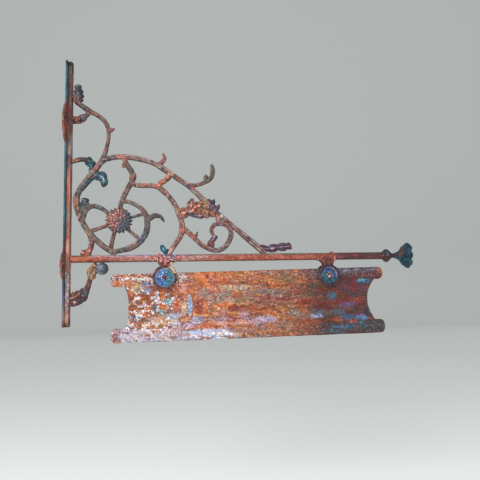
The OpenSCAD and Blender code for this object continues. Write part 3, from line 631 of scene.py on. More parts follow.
MAT = {
    "wall_iron": weathered("wall_iron", 0.66, 0.16, 0.6, 0.35, "umber", 0.10, "dusty", 0.0, 0.3, (1, 1, 0.55)),
    "bar_iron": weathered("bar_iron", 0.58, 0.18, 0.55, 0.35, "umber", 0.35, "pink", 0.0, 0.45, (1, 1, 0.5)),
    "arm_iron": weathered("arm_iron", 0.56, 0.18, 0.55, 0.3, "umber", 0.35, "pink", 0.0, 0.45, (0.5, 1, 1)),
    "flower_paint": weathered("flower_paint", 0.46, 0.16, 0.4, 0.2, "navy", 0.12, "azure", 0.0, 0.28, chip=0.14, chip_col="maroon"),
    "scroll_iron": weathered("scroll_iron", 0.55, 0.18, 0.55, 0.3, "umber", 0.35, "pink", 0.0, 0.45),
    "leaf_paint": weathered("leaf_paint", 0.50, 0.18, 0.5, 0.25, "ink", 0.14, "slate", 0.0, 0.32, chip=0.10, chip_col="maroon"),
    "leaf_iron": weathered("leaf_iron", 0.55, 0.18, 0.55, 0.35, "umber", 0.35, "pink", 0.0, 0.45),
    "wheel_iron": weathered("wheel_iron", 0.55, 0.18, 0.55, 0.3, "umber", 0.35, "pink", 0.0, 0.45),
    "rosette_iron": weathered("rosette_iron", 0.5, 0.18, 0.5, 0.35, "maroon", 0.35, "pink", 0.0, 0.5),
    "brace_iron": weathered("brace_iron", 0.55, 0.18, 0.55, 0.3, "maroon", 0.3, "pink", 0.0, 0.45),
    "calyx_ochre": weathered("calyx_ochre", 0.6, 0.15, 0.5, 0.3, "brown", 0.4, "cream", 0.0, 0.4),
    "ball_paint": weathered("ball_paint", 0.5, 0.15, 0.4, 0.25, "plum", 0.25, "lilac", 0.0, 0.5, chip=0.3, chip_col="plum"),
    "hanger_iron": weathered("hanger_iron", 0.55, 0.18, 0.5, 0.3, "ink", 0.3, "pink", 0.0, 0.45),
    "roundel_paint": weathered("roundel_paint", 0.44, 0.16, 0.4, 0.2, "maroon", 0.25, "white", 0.0, 0.36),
    "board_paint": weathered("board_paint", 0.64, 0.2, 0.6, 0.3, "umber", 0.30, "cream", 0.0, 0.28, (0.6, 1, 1), chip=0.15, chip_col="brown"),
    "roll_paint": weathered("roll_paint", 0.64, 0.2, 0.55, 0.3, "umber", 0.28, "cream", 0.0, 0.28, (0.6, 1, 1), chip=0.12, chip_col="brown"),
}


# ------------------------------------------------------------------ floor, backdrop and light
def make_stage():
    pts = [(-3.2, -0.785)] + [(-3.2 + 7.6 * k / 40, -0.785) for k in range(1, 41)]
    cx, cz, r = 4.4, 0.215, 1.0
    pts += [(cx + r * math.sin(a), cz - r * math.cos(a)) for a in np.linspace(0, math.pi / 2, 18)[1:]]
    pts += [(5.4, z) for z in np.linspace(0.3, 5.5, 12)]
    xs = np.linspace(-7, 7.8, 24)
    V = [(x, y, z) for y, z in pts for x in xs]
    F = grid_quads(len(pts), len(xs))
    me = bpy.data.meshes.new("studio_floor")
    me.from_pydata(V, [], F.tolist())
    me.polygons.foreach_set("use_smooth", np.ones(len(me.polygons), bool))
    me.update()
    o = bpy.data.objects.new("studio_floor", me)
    scene.collection.objects.link(o)
    mat = bpy.data.materials.new("studio_floor")
    mat.use_nodes = True
    nt = mat.node_tree
    bsdf = next(n for n in nt.nodes if n.type == "BSDF_PRINCIPLED")
    tc = nt.nodes.new("ShaderNodeTexCoord")
    sep = nt.nodes.new("ShaderNodeSeparateXYZ")
    nt.links.new(tc.outputs["Object"], sep.inputs[0])
    t = nt.nodes.new("ShaderNodeMapRange")
    t.inputs["From Min"].default_value = 0.0
    t.inputs["From Max"].default_value = 5.4
    nt.links.new(sep.outputs["Y"], t.inputs["Value"])
    stops = [(y / 5.4, tuple(v * np.array(STAGE_TINT))) for y, v in STAGE_RAMP]
    rp = ramp(nt, stops)
    nt.links.new(t.outputs["Result"], rp.inputs["Fac"])
    nt.links.new(rp.outputs["Color"], bsdf.inputs["Base Color"])
    nt.links.new(rp.outputs["Color"], bsdf.inputs["Emission Color"])
    bsdf.inputs["Emission Strength"].default_value = STAGE_GLOW
    bsdf.inputs["Roughness"].default_value = 1.0
    bsdf.inputs["Specular IOR Level"].default_value = 0.0
    me.materials.append(mat)


def area(name, place, aim, size, power, colour=(1, 1, 1)):
    d = bpy.data.lights.new(name, "AREA")
    d.shape = "RECTANGLE"
    d.size, d.size_y = size
    d.energy = power
    d.color = colour
    o = bpy.data.objects.new(name, d)
    o.location = place
    o.rotation_euler = (Vector(aim) - Vector(place)).to_track_quat("-Z", "Y").to_euler()
    scene.collection.objects.link(o)
    return o


STAGE_GLOW = 0.40
STAGE_TINT = (0.950, 0.984, 0.962)
STAGE_RAMP = [(0.44, 0.697), (0.63, 0.656), (0.88, 0.617), (1.23, 0.571), (1.70, 0.532), (2.47, 0.508), (3.76, 0.495),
              (4.30, 0.450), (5.40, 0.430)]
make_stage()
w = bpy.data.worlds.new("studio")
w.use_nodes = True
bg = next(n for n in w.node_tree.nodes if n.type == "BACKGROUND")
bg.inputs["Color"].default_value = (0.96, 0.98, 1.0, 1)
bg.inputs["Strength"].default_value = 0.62
scene.world = w
area("key_light", (-1.5, -2.3, 1.7), (0.35, 0, 0.05), (1.6, 1.6), 75, (1.0, 0.98, 0.95))
area("fill_light", (2.6, -2.4, 0.6), (0.45, 0, 0.0), (1.8, 1.8), 16, (0.95, 0.98, 1.0))


# ------------------------------------------------------------------ scrollwork routes, as in the construction
WALL = [[6, 450, 6], [28, 424, 6.5], [44, 411, 6.5], [62, 399, 6.3], [82, 388, 5.9], [99, 374, 5.7], [109, 354, 5.7],
        [111, 330, 5], [107, 303, 5.2], [99, 277, 6.2], [88, 255, 6.8], [74, 236, 7], [58, 218, 6.8],
        [44, 197, 7], [33, 177, 7.5], [28, 158, 9], [32, 132, 8.5], [43, 102, 7.6], [58, 76, 7.4], [78, 53, 7.4],
        [98, 35, 7.4], [116, 22, 7], [130, 12, 6.5]]
RAFTER = [[84, 248, 5.5], [98, 264, 6.4], [114, 271, 7], [140, 275, 7.2], [170, 273, 7.2], [202, 267, 7],
          [234, 256, 6.6], [262, 239, 6.9], [298, 214, 6.8], [331, 190, 6.8], [361, 161, 7.2], [396, 126, 7.1],
          [436, 92, 6.2], [476, 57, 7.8], [500, 37, 8.6], [516, 23, 8.2], [530, 10, 7]]
DROP = [[150, 276, 6], [160, 254, 6.4], [170, 238, 7], [176, 222, 8], [172, 206, 7.4], [163, 189, 7.2],
        [154, 170, 7.2], [147, 153, 6.6], [142, 134, 5.8], [140, 118, 5.6]]
ARC = [[169, 203, 5], [184, 198, 6.4], [206, 196, 6.4], [228, 196, 6.5], [246, 190, 6.7], [263, 176, 6.7],
       [278, 159, 6.7], [291, 139, 6.9], [300, 116, 7.2], [306, 96, 7.4], [308, 80, 7.6], [304, 62, 7.2],
       [295, 46, 7], [284, 30, 6.6], [274, 14, 6.2], [270, 4, 6]]
VOLUTE = [[307, 88, 5], [317, 75, 6.2], [332, 61, 6.4], [346, 47, 6.4], [362, 33, 6.4], [382, 23, 6.6],
          [403, 19.5, 6.6], [421, 28, 6.8], [433, 44, 7], [439, 62, 6.8], [436, 78, 6.6], [424, 89, 6.4],
          [408, 92, 6.2], [393, 88, 6], [386, 76, 5.5], [388, 66, 4.8], [394, 57, 3.8]]
RING = [[146, 150, 4.5], [160, 153, 5.5], [178, 147, 5.6], [196, 136, 6], [209, 121, 6.8], [214, 101, 7.6],
        [214, 80, 8], [207, 60, 8.4], [191, 41, 8.4], [169, 28, 8], [150, 23, 7.2], [134, 20, 6.6], [118, 20, 6]]
TENDRIL = [[309, 207, 5], [322, 200, 5.5], [336, 197, 5.6], [352, 199, 5.4], [368, 205, 5.6], [382, 213, 6.2],
           [389, 225, 6.8], [391, 240, 6.2], [388, 253, 4.2]]
RING_TENDRIL = [[212, 100, 6], [221, 108, 8], [232, 114, 7.2], [243, 114, 6], [252, 109, 4.6], [259, 98, 2]]
SPOKE_LEFT = [[34, 120, 5], [46, 131, 6.5], [58, 137, 6.6], [72, 141, 6.6], [87, 138, 6.2], [101, 130, 5.8],
              [114, 119, 5], [128, 110, 4.6]]
SPOKE_CURL = [[66, 139, 5], [54, 128, 5.4], [48, 112, 5.4], [47, 97, 4.4]]
SPOKE_RIGHT = [[150, 105, 4.4], [178, 112, 4.4], [208, 120, 4.6]]
SPOKE_LR = [[150, 92, 4.4], [172, 70, 4.8], [197, 50, 5]]
SPOKE_D = [[136, 92, 5], [126, 62, 5.4], [121, 38, 5.8], [119, 26, 6]]
SPOKE_LL = [[128, 96, 5], [104, 87, 5.2], [82, 79, 5.6], [61, 72, 6]]
CROSS = [[244, 191, 5.6], [250, 203, 6.4], [261, 209, 5.8], [270, 218, 6.6], [276, 232, 6]]
FOOT = [[60, 72, 5.4], [68, 52, 7], [68, 34, 7], [62, 18, 7.2], [58, 4, 8]]
ARCH = [[8, 258, 5], [22, 263, 6.2], [38, 267, 6.4], [52, 266, 6], [60, 260, 4.4]]
BRACE = [[4, -116, 8], [22, -115, 8.5], [38, -111, 8.5], [50, -102, 8.5], [57, -84, 7.8], [63, -66, 6.8],
         [67, -49, 5.8], [71, -34, 5]]
SPUR_A = [[110, 350, 6.5], [114, 349, 5.4], [119, 350, 3.6], [125, 352, 1.6]]
SPUR_B = [[240, 250, 7], [254, 261, 6.4], [261, 272, 4.8], [256, 285, 2.2]]
SPUR_C = [[338, 54, 6], [345, 61, 4], [348, 70, 1.8]]
INNER = [[43, 184, 4], [51, 195, 4.8], [61, 207, 5], [72, 217, 5], [84, 222, 5]]
KNOT = [[407, 94, 6], [405, 104, 7.6], [401, 120, 5.2]]

CAM = scene.camera.matrix_world
CR, CU, CF, CL = CAM.col[0].xyz, CAM.col[1].xyz, -CAM.col[2].xyz, CAM.translation


def spots(L):
    """Listed patches (across, down, radius, colour, strength) in the view's 480 x 480 frame, laid on the panel."""
    out = []
    for x, y, r, name, s in L:
        d = CF + CR * ((x - 240) / 423.2974) + CU * ((240 - y) / 423.2974)
        p = CL + d * (-CL.y / d.y)
        out.append((p.x * 1000, p.z * 1000, r * 2.7, name, s))
    return out


def lit(col, gain, grey=0.0):
    """The colours made lighter or darker, and a little greyer."""
    return np.clip(lerp(col, np.mean(col, 1)[:, None] + 0 * col, grey) * gain, 0, 1)


def painted_top_light(V, Q, amount=0.42):
    """Painted light and shade: the upper sides of a scroll made lighter and its undersides darker, as light falls from
    above.
    """
    Q = np.asarray(Q)
    n = np.cross(V[Q[:, 2]] - V[Q[:, 0]], V[Q[:, 3]] - V[Q[:, 1]])
    n = n * np.sign(np.sum(n * (V[Q[:, 0]] + V[Q[:, 2]])) + 1e-9)
    N = np.zeros_like(V)
    for k in range(4):
        np.add.at(N, Q[:, k], n)
    up = N[:, 2] / (np.linalg.norm(N, axis=1) + 1e-9)
    return (1 + amount * up)[:, None]


def stem(node, slot, P, look, patches=(), seed=0, i0=0, i1=None, more=(), tone=None, gain=1.2, grey=0.24, **kw):
    """A scroll and any further strand of the same piece."""
    parts = Parts()
    V, Q, T, crest, u = tube(P, i0, i1, seed=seed, **kw)
    parts.add(V, Q, T, lit(paint(V, seed, *look, crest, spots(patches), **(tone or TONE)) * painted_top_light(V, Q), gain, grey), crest)
    for k, (P2, kw2) in enumerate(more):
        V, Q, T, crest, u = tube(P2, seed=seed + 50 + k, **kw2)
        parts.add(V, Q, T, lit(paint(V, seed + 50 + k, *look, crest, spots(patches), **(tone or TONE)) * painted_top_light(V, Q), gain, grey), crest)
    return parts.make(node + "_forged", [node], "bracket", slot, MAT[slot])


def forged_leaf(node, slot, shapes, look, patches=(), seed=0, body="bracket", stalk=None, gain=1.0, contrast=0.6):
    P = Parts()
    if stalk:
        V, Q, T, crest, u = tube(stalk, seed=seed + 40, groove=0.2)
        P.add(V, Q, T, lit(paint(V, seed + 40, *look, crest, spots(patches), mottle=9, contrast=contrast), gain), crest)
    for k, (a, kw) in enumerate(shapes):
        V, Q, T, crest = leaf(*a, seed=seed + 3 * k, **kw)
        P.add(V, Q, T, lit(paint(V, seed + 3 * k, *look, crest, spots(patches), mottle=9, contrast=contrast), gain), crest)
    return P.make(node + "_forged", [node], body, slot, MAT[slot])


TONE = dict(mottle=11.0, third="taupe", hollow_shade_amt=0.72, highlight_amt=0.7, glint_and_grime_specks=0.45, contrast=0.6)
RED = ("brick", "rust", "umber", "salmon")
DULL = ("dusty", "brick", "umber", "pink")

stem("upper_scroll", "scroll_iron", WALL, RED,
     [(85, 106, 4.5, "moss", .85), (90, 110.5, 3.2, "maroon", .8), (97, 114, 4, "brick", .6), (104, 120, 4.5, "olive", .7),
      (108, 127, 3, "umber", .6), (110, 136, 5, "rust", .55), (109, 146, 4, "maroon", .6), (105, 154, 3.5, "olive", .6),
      (76, 97, 4, "maroon", .7)],
     seed=3, i1=10, gain=1.0, grey=0.32, groove=0.16, twist_at=[(0.12, 0.07, .2)], bulge_at=[(0.13, .06, .14), (0.27, .05, .12)])
stem("main_scroll", "scroll_iron", WALL, ("taupe", "clay", "umber", "cream"),
     [(95, 168, 4.2, "fire", .9), (92, 170, 2.4, "orange", .8), (85, 180, 5, "taupe", .8), (79, 188, 4, "slate", .8),
      (77, 195, 3, "maroon", .6), (76, 204, 6, "orange", .75), (73, 200, 2.6, "ochre", .6), (75, 213, 3.5, "brick", .6),
      (78, 222, 3, "umber", .6), (82, 228, 4, "olive", .7), (87, 234, 4, "ochre", .75), (92, 242, 4, "olive", .5),
      (99, 248, 4.5, "rust", .7), (106, 252, 4, "slate", .5)],
     seed=5, i0=10, gain=1.1, grey=0.36, groove=0.2, bulge_at=[(0.02, .05, .1), (0.28, .06, .1)], twist_at=[(0.55, 0.08, .14)])
stem("arch_branch", "scroll_iron", ARCH, ("maroon", "umber", "ink", "salmon"), [(76, 161, 3.5, "orange", .8), (84, 158, 3, "plum", .6)],
     seed=7, groove=0.34)
stem("upper_scroll_spur", "scroll_iron", [[109, 349, 8], [114, 348, 7.6], [119, 349, 5.8], [126, 352, 2.4]], ("taupe", "brick", "umber", "cream"), seed=8, depth=0.6)
stem("rafter", "scroll_iron", RAFTER, ("dusty", "grey", "maroon", "pink"),
     [(108, 159, 4.5, "petrol", .75), (105, 163, 2.5, "moss", .7), (112, 156, 2.5, "slate", .7), (118, 153, 5, "maroon", .45),
      (121, 157, 3, "fire", .5), (133, 155, 7, "taupe", .75), (145, 158, 6, "dusty", .6), (155, 163, 6, "taupe", .65),
      (164, 168, 4, "olive", .5), (170, 174, 4.5, "ochre", .75), (178, 179, 4, "brick", .75), (183, 182, 3, "fire", .5),
      (189, 187, 3.4, "navy", .85), (194, 187, 2.6, "fire", .85), (199, 195, 4.2, "olive", .7), (206, 203, 4.5, "ochre", .8),
      # the white patch at (221, 217) is a painted highlight
      (213, 206, 3.5, "plum", .8), (217, 213, 3, "navy", .9), (221, 217, 2.4, "white", .75), (219, 220, 2.2, "fire", .6),
      (228, 223, 5, "maroon", .65), (237, 232, 5, "brick", .6), (246, 240, 5, "maroon", .6), (253, 247, 4, "plum", .5)],
     seed=11, gain=1.37, groove=0.22, twist_at=[(0.045, .035, .24)], ribs_at=[(0.42, .02, .14), (0.655, .02, .16)],
     bulge_at=[(0.045, .04, .12), (0.345, .03, .14), (0.42, .02, .10), (0.61, .03, .12), (0.655, .02, .1)])
stem("rafter_spur", "scroll_iron", SPUR_B, ("brick", "rust", "maroon", "salmon"), seed=12, groove=0.28, depth=0.8)
stem("upper_tendril", "scroll_iron", TENDRIL, ("dusty", "brown", "umber", "lilac"),
     [(190, 187, 4, "fire", .7), (197, 186, 5, "rust", .6), (208, 180, 4, "moss", .6), (215, 170, 4, "umber", .5)],
     seed=13, groove=0.24, ribs_at=[(0.75, .14, .14)])
stem("drop_strut", "scroll_iron", DROP, ("clay", "olive", "umber", "pink"),
     [(124, 160, 3.5, "orange", .8), (128, 165, 3, "moss", .6), (131, 171, 4.2, "slate", .85), (133, 168, 2, "petrol", .7),
      (135, 178, 3.2, "fire", .7), (130, 177, 2, "orange", .7), (130, 184, 4, "rust", .7)],
     seed=15, i1=4, ribs_at=[(0.55, .16, .22)], bulge_at=[(0.5, .16, .16), (0.82, .1, .18)])
stem("wheel_stay", "wheel_iron", DROP, ("taupe", "brown", "umber", "cream"),
     [(128, 190, 3, "orange", .6), (124, 196, 3.5, "olive", .6), (121, 203, 4, "taupe", .5), (119, 209, 3, "ochre", .5)],
     seed=16, i0=4, groove=0.3)
stem("inner_arc", "scroll_iron", ARC, ("clay", "dusty", "maroon", "pink"),
     [(131, 186, 4, "orange", .6), (138, 185, 5, "olive", .5), (147, 185, 4, "brick", .7), (152, 186, 3, "olive", .5),
      (158, 186, 3.6, "fire", .85), (165, 193, 4, "brick", .6), (171, 201, 4.5, "rose", .5), (176, 210, 3.6, "ochre", .7),
      (179, 217, 4, "dusty", .5), (181, 226, 3.2, "maroon", .5), (182.5, 232, 4, "fire", .7), (180, 241, 4, "brick", .6),
      # the pink patch at (170, 251) is a painted highlight
      (176, 247, 3, "dusty", .6), (170, 251, 2.6, "pink", .8)],
     seed=17, gain=1.41, groove=0.2, bulge_at=[(0.31, .04, .16), (0.56, .04, .12), (0.73, .04, .12)], twist_at=[(0.42, .07, .12)])
stem("cross_strut", "scroll_iron", CROSS, ("rust", "orange", "maroon", "peach"), [(168, 181, 3.5, "orange", .8), (161, 184, 3, "fire", .6)],
     seed=18, groove=0.12, bulge_at=[(0.35, .18, .18), (0.72, .16, .2)])
stem("volute_scroll", "scroll_iron", VOLUTE, ("dusty", "brick", "maroon", "pink"),
     [(184, 230, 4, "brick", .6), (190, 236, 4.5, "fire", .8), (196, 238, 2.6, "umber", .7), (200, 246, 4, "red", .5),
      (208, 251, 4, "rose", .5), (216, 252, 4, "violet", .5), (226, 250, 4, "plum", .5), (232, 240, 4, "maroon", .5),
      (231, 228, 4, "brick", .4), (222, 220, 3, "plum", .5), (212, 226, 3, "brick", .5)],
     seed=19, gain=1.47, groove=0.3, bulge_at=[(0.10, .04, .12)], more=[(KNOT, dict(groove=0.1))])
stem("volute_spur", "scroll_iron", SPUR_C, ("umber", "brick", "ink", "rose"), seed=20, depth=0.8)
stem("wheel_ring", "wheel_iron", RING, ("dusty", "grey", "umber", "pink"),
     [(125, 203, 4, "taupe", .6), (136, 204, 4, "taupe", .5), (145, 210, 4, "red", .65), (149, 216, 3, "brick", .5),
      (148, 224, 3.5, "slate", .7), (147, 231, 4.2, "petrol", .85), (142, 239, 4.5, "blue", .65), (139, 243, 3, "petrol", .6),
      (134, 246, 3.6, "rose", .6), (127, 249, 4, "slate", .6), (120, 250, 4, "petrol", .6), (112, 251, 3, "dusty", .6)],
     seed=21, groove=0.3, twist_at=[(0.62, .06, .12)])
stem("ring_tendril", "wheel_iron", RING_TENDRIL, ("plum", "taupe", "ink", "lilac"),
     [(150, 216, 3, "brick", .5), (156, 216, 3, "moss", .6), (163, 220, 3, "plum", .6)], seed=22, groove=0.3)
stem("spoke_left", "wheel_iron", SPOKE_LEFT, ("brown", "grey", "ink", "lilac"),
     [(80, 208, 3.4, "brick", .6), (86, 204, 3, "moss", .6), (93, 204, 3.4, "plum", .6), (101, 207, 4, "slate", .5), (108, 213, 4, "rose", .5)],
     seed=23, groove=0.34, more=[(SPOKE_CURL, dict(groove=0.3))])
for k, (n, P) in enumerate([("spoke_right", SPOKE_RIGHT), ("spoke_low_right", SPOKE_LR), ("spoke_down", SPOKE_D), ("spoke_low_left", SPOKE_LL)]):
    stem(n, "wheel_iron", P, [("slate", "dusty", "umber", "cream"), ("dusty", "brick", "umber", "cream"),
                              ("brick", "rust", "umber", "salmon"), ("dusty", "rose", "umber", "cream")][k], seed=25 + k, groove=0.34)
stem("foot_strut", "scroll_iron", FOOT, ("brick", "rust", "maroon", "salmon"), [(91, 240, 4, "dusty", .5), (90, 250, 3, "fire", .4)], seed=30,
     groove=0.16, bulge_at=[(0.85, .12, .12)])

forged_leaf("top_leaf", "leaf_paint", [(([[30, 425], [30.5, 439], [30, 456], [28, 473]], 10.5, 4, 8), dict(fold=1.2, cup=-1, blunt=0.2))],
            ("petrol", "navy", "ink", "navy"),
            [(77.5, 99, 5, "brown", .9), (80, 87, 3, "green", .8), (82.5, 95, 3, "navy", .85), (76.2, 89, 2.4, "plum", .8), (80, 103, 3, "maroon", .8), (77, 94, 3, "plum", .6)],
            41, gain=0.72, contrast=0.9)
forged_leaf("lug_tie_leaf", "leaf_iron", [(([[33, 375], [45, 383], [56, 392], [64, 400]], 6.5, 2, 8), dict(fold=1.2))],
            ("mud", "plum", "umber", "dusty"), [(87.5, 111, 3.4, "maroon", .8), (83, 118, 2.5, "slate", .7)], 43, gain=0.72)
forged_leaf("arch_leaf", "leaf_paint", [(([[50, 266], [63, 259], [68, 245], [62, 222]], 10.5, 3, 5), dict(fold=1.3))],
            # the green patch at (91, 161) is a painted highlight
            ("teal", "petrol", "ink", "aqua"), [(91, 161, 2, "green", .7), (85, 158, 2.5, "umber", .6), (88, 172, 3, "teal", .6)], 45, gain=0.75, contrast=1.15)
forged_leaf("inner_leaf", "leaf_paint", [(([[70, 222], [86, 224], [100, 213], [98, 192]], 12, 3, 6), dict(fold=1.3, blunt=0.1))],
            # the white patch at (103.5, 180) is a painted highlight
            ("petrol", "slate", "ink", "pale_blue"), [(93, 176, 3, "dusty", .7), (103.5, 180, 1.6, "white", .8), (106, 180, 2.4, "green", .6), (102, 186, 2, "ink", .6)], 47, stalk=INNER, gain=1.05, contrast=1.2)
forged_leaf("rafter_foot_leaf", "leaf_iron", [(([[512, 27], [538, 22], [566, 26], [592, 28], [603, 32]], 9.5, 4, 5), dict(fold=1.3, blunt=0.4))],
            ("plum", "maroon", "ink", "lilac"), [(262, 251, 3, "rose", .6), (270, 248, 3, "violet", .7), (278, 248, 3, "petrol", .8), (286, 246, 3.4, "navy", .8)], 49)
forged_leaf("tendril_leaf", "leaf_iron", [(([[377, 208], [373, 216], [371, 227]], 5, 1, 6), dict(blunt=0.2))], ("moss", "olive", "ink", "dusty"), [], 51)
forged_leaf("drop_leaf", "leaf_paint", [(([[162, 262], [154, 254], [148, 245]], 6.5, 2, 5), {})], ("dusty", "rust", "umber", "peach"), [], 53)
forged_leaf("arc_foot_leaf", "leaf_paint", [(([[277, 16], [265, 17], [257, 24], [252, 36]], 6.5, 2, 5, 7), dict(blunt=0.2))], ("petrol", "teal", "navy", "aqua"), [(168, 252, 2, "ink", .6)], 55)
forged_leaf("cross_leaf", "leaf_iron",
            [(([[336, 122], [362, 127], [388, 127]], 7, 1, 4, 6), dict(fold=0.6)),
             (([[298, 120], [315, 122], [332, 126], [342, 134]], 11, 2, 9), dict(fold=1.4, blunt=0.3)),
             (([[334, 130], [354, 141], [372, 140], [388, 130]], 12, 3, 8), dict(fold=1.5, cols=23, blunt=0.3)),
             (([[396, 122], [376, 118], [352, 113], [328, 114]], 7.5, 4, 8), dict(fold=1.3)),
             (([[330, 128], [332, 148], [336, 162]], 9, 3, 8), dict(fold=1.3))],
            ("rust", "dusty", "umber", "pink"),
            [(181, 212, 5, "orange", .7), (191, 203, 3, "brown", .7), (192, 199, 2, "navy", .8), (195, 208, 4.5, "rust", .8), (203, 203, 5, "ochre", .65),
             (204, 202.5, 1.3, "ink", .9), (192, 216.5, 4, "petrol", .9), (197, 218, 2.6, "slate", .8), (201, 217, 4, "plum", .75), (208, 215, 4, "olive", .6),
             (213, 209, 3.5, "maroon", .7), (186, 214.5, 3, "navy", .5)], 57, contrast=0.85)
forged_leaf("rafter_top_leaf", "leaf_paint", [(([[374, 156], [388, 143], [404, 127]], 6, 1, 6), dict(fold=0.8)),
             (([[380, 140], [389, 148], [395, 159]], 6.5, 2, 7), dict(fold=1.2)),
             (([[392, 128], [402, 134], [409, 145]], 5.5, 2, 7), dict(fold=1.2))], ("navy", "plum", "ink", "slate"), [], 59)
forged_leaf("volute_leaf", "leaf_iron", [(([[383, 24], [385, 40], [391, 50], [402, 58]], 7, 2, 6), dict(fold=1.3, blunt=0.15))],
            # the white patch at (214, 236) is a painted highlight
            ("maroon", "navy", "ink", "pale_blue"), [(212, 243, 3.5, "brick", .8), (214, 236, 1.6, "white", .6), (212, 234, 2.2, "navy", .8)], 61)
forged_leaf("spoke_left_leaf", "leaf_paint", [(([[50, 130], [50, 147], [52, 163]], 10, 3, 8), dict(fold=1.4, blunt=0.25))],
            ("slate", "petrol", "ink", "pale_blue"), [(82, 204, 3, "umber", .5)], 63)
forged_leaf("foot_leaf", "leaf_iron", [(([[64, 15], [56, 15], [49, 16], [42, 19]], 7.5, 2, 7), dict(blunt=0.3))], ("brick", "rose", "maroon", "salmon"), [], 65)
forged_leaf("brace_leaf", "leaf_iron", [(([[8, -104], [26, -100], [40, -90], [55, -74]], 11.5, 4, 9), dict(fold=1.5))],
            # the white patch at (85, 289) is a painted highlight
            ("maroon", "brick", "ink", "peach"), [(74, 296, 3.5, "rust", .6), (84, 291, 3.5, "petrol", .85), (85, 289, 1.5, "white", .7)], 67, gain=0.62)


# ------------------------------------------------------------------ wall plate, upright, arm and finial
def bands(q, L):
    """Colours that change along one direction: L is (place, colour) pairs."""
    p = np.array([a for a, _ in L], float)
    c = np.array([LIN[n] for _, n in L])
    o = np.argsort(p)
    return np.stack([np.interp(q, p[o], c[o, k]) for k in range(3)], 1)


def paint_plate(V, N, crest):
    base = paint(V, 71, "mud", "brick", "umber", "dusty", crest, [], mottle=16, third="brown", highlight_amt=0.2, glint_and_grime_specks=0.15)
    n = fbm(V, (12, 12, 30), 72, 3)
    edge = bands(V[:, 2] + 14 * n, [(540, "ink"), (529, "ink"), (524, "petrol"), (500, "teal"), (480, "petrol"), (452, "teal"), (438, "petrol"), (424, "slate"), (410, "umber"),
                                    (330, "maroon"), (305, "slate"), (290, "teal"), (200, "petrol"), (120, "teal"), (60, "petrol"),
                                    (40, "umber"), (-50, "plum"), (-70, "petrol"), (-92, "blue"), (-112, "slate"), (-140, "grey"), (-160, "mud"), (-176, "umber")])
    near = step(-7, -12, V[:, 1]) * (1 - 0.8 * step(20, 26, np.abs(V[:, 1])) * step(-0.2, 0.3, n))
    ear = np.maximum(1 - step(34, 56, np.abs(V[:, 2] - 364)), 1 - step(24, 38, np.abs(V[:, 2] + 16)))
    base = base * (1 + 0.22 * ear * near)[:, None]
    col = lerp(base, edge * (1 + 0.2 * n)[:, None], 0.92 * near * (1 - 0.85 * ear))
    back = step(0.3, 0.8, -N[:, 0])
    return np.clip(lerp(col, LIN["umber"][None, :] * (1 + 0.5 * n)[:, None], 0.65 * back), 0, 1)


def carve_bar(V, N):
    side = step(0.6, 0.95, -N[:, 1]) + step(0.6, 0.95, N[:, 1])
    x = V[:, 0]
    wob = 0.5 * noise(V, (40, 40, 40), 75)
    d = -0.55 * np.exp(-((x - 8.0 - wob) / 0.55) ** 2) - 0.45 * np.exp(-((x - 11.4 + wob) / 0.5) ** 2)
    front = step(0.6, 0.95, N[:, 0])
    d2 = -0.5 * np.exp(-((V[:, 1] - wob * 2) / 0.8) ** 2)
    return side * d + front * d2 + 0.35 * fbm(V, (4, 4, 22), 76, 3)


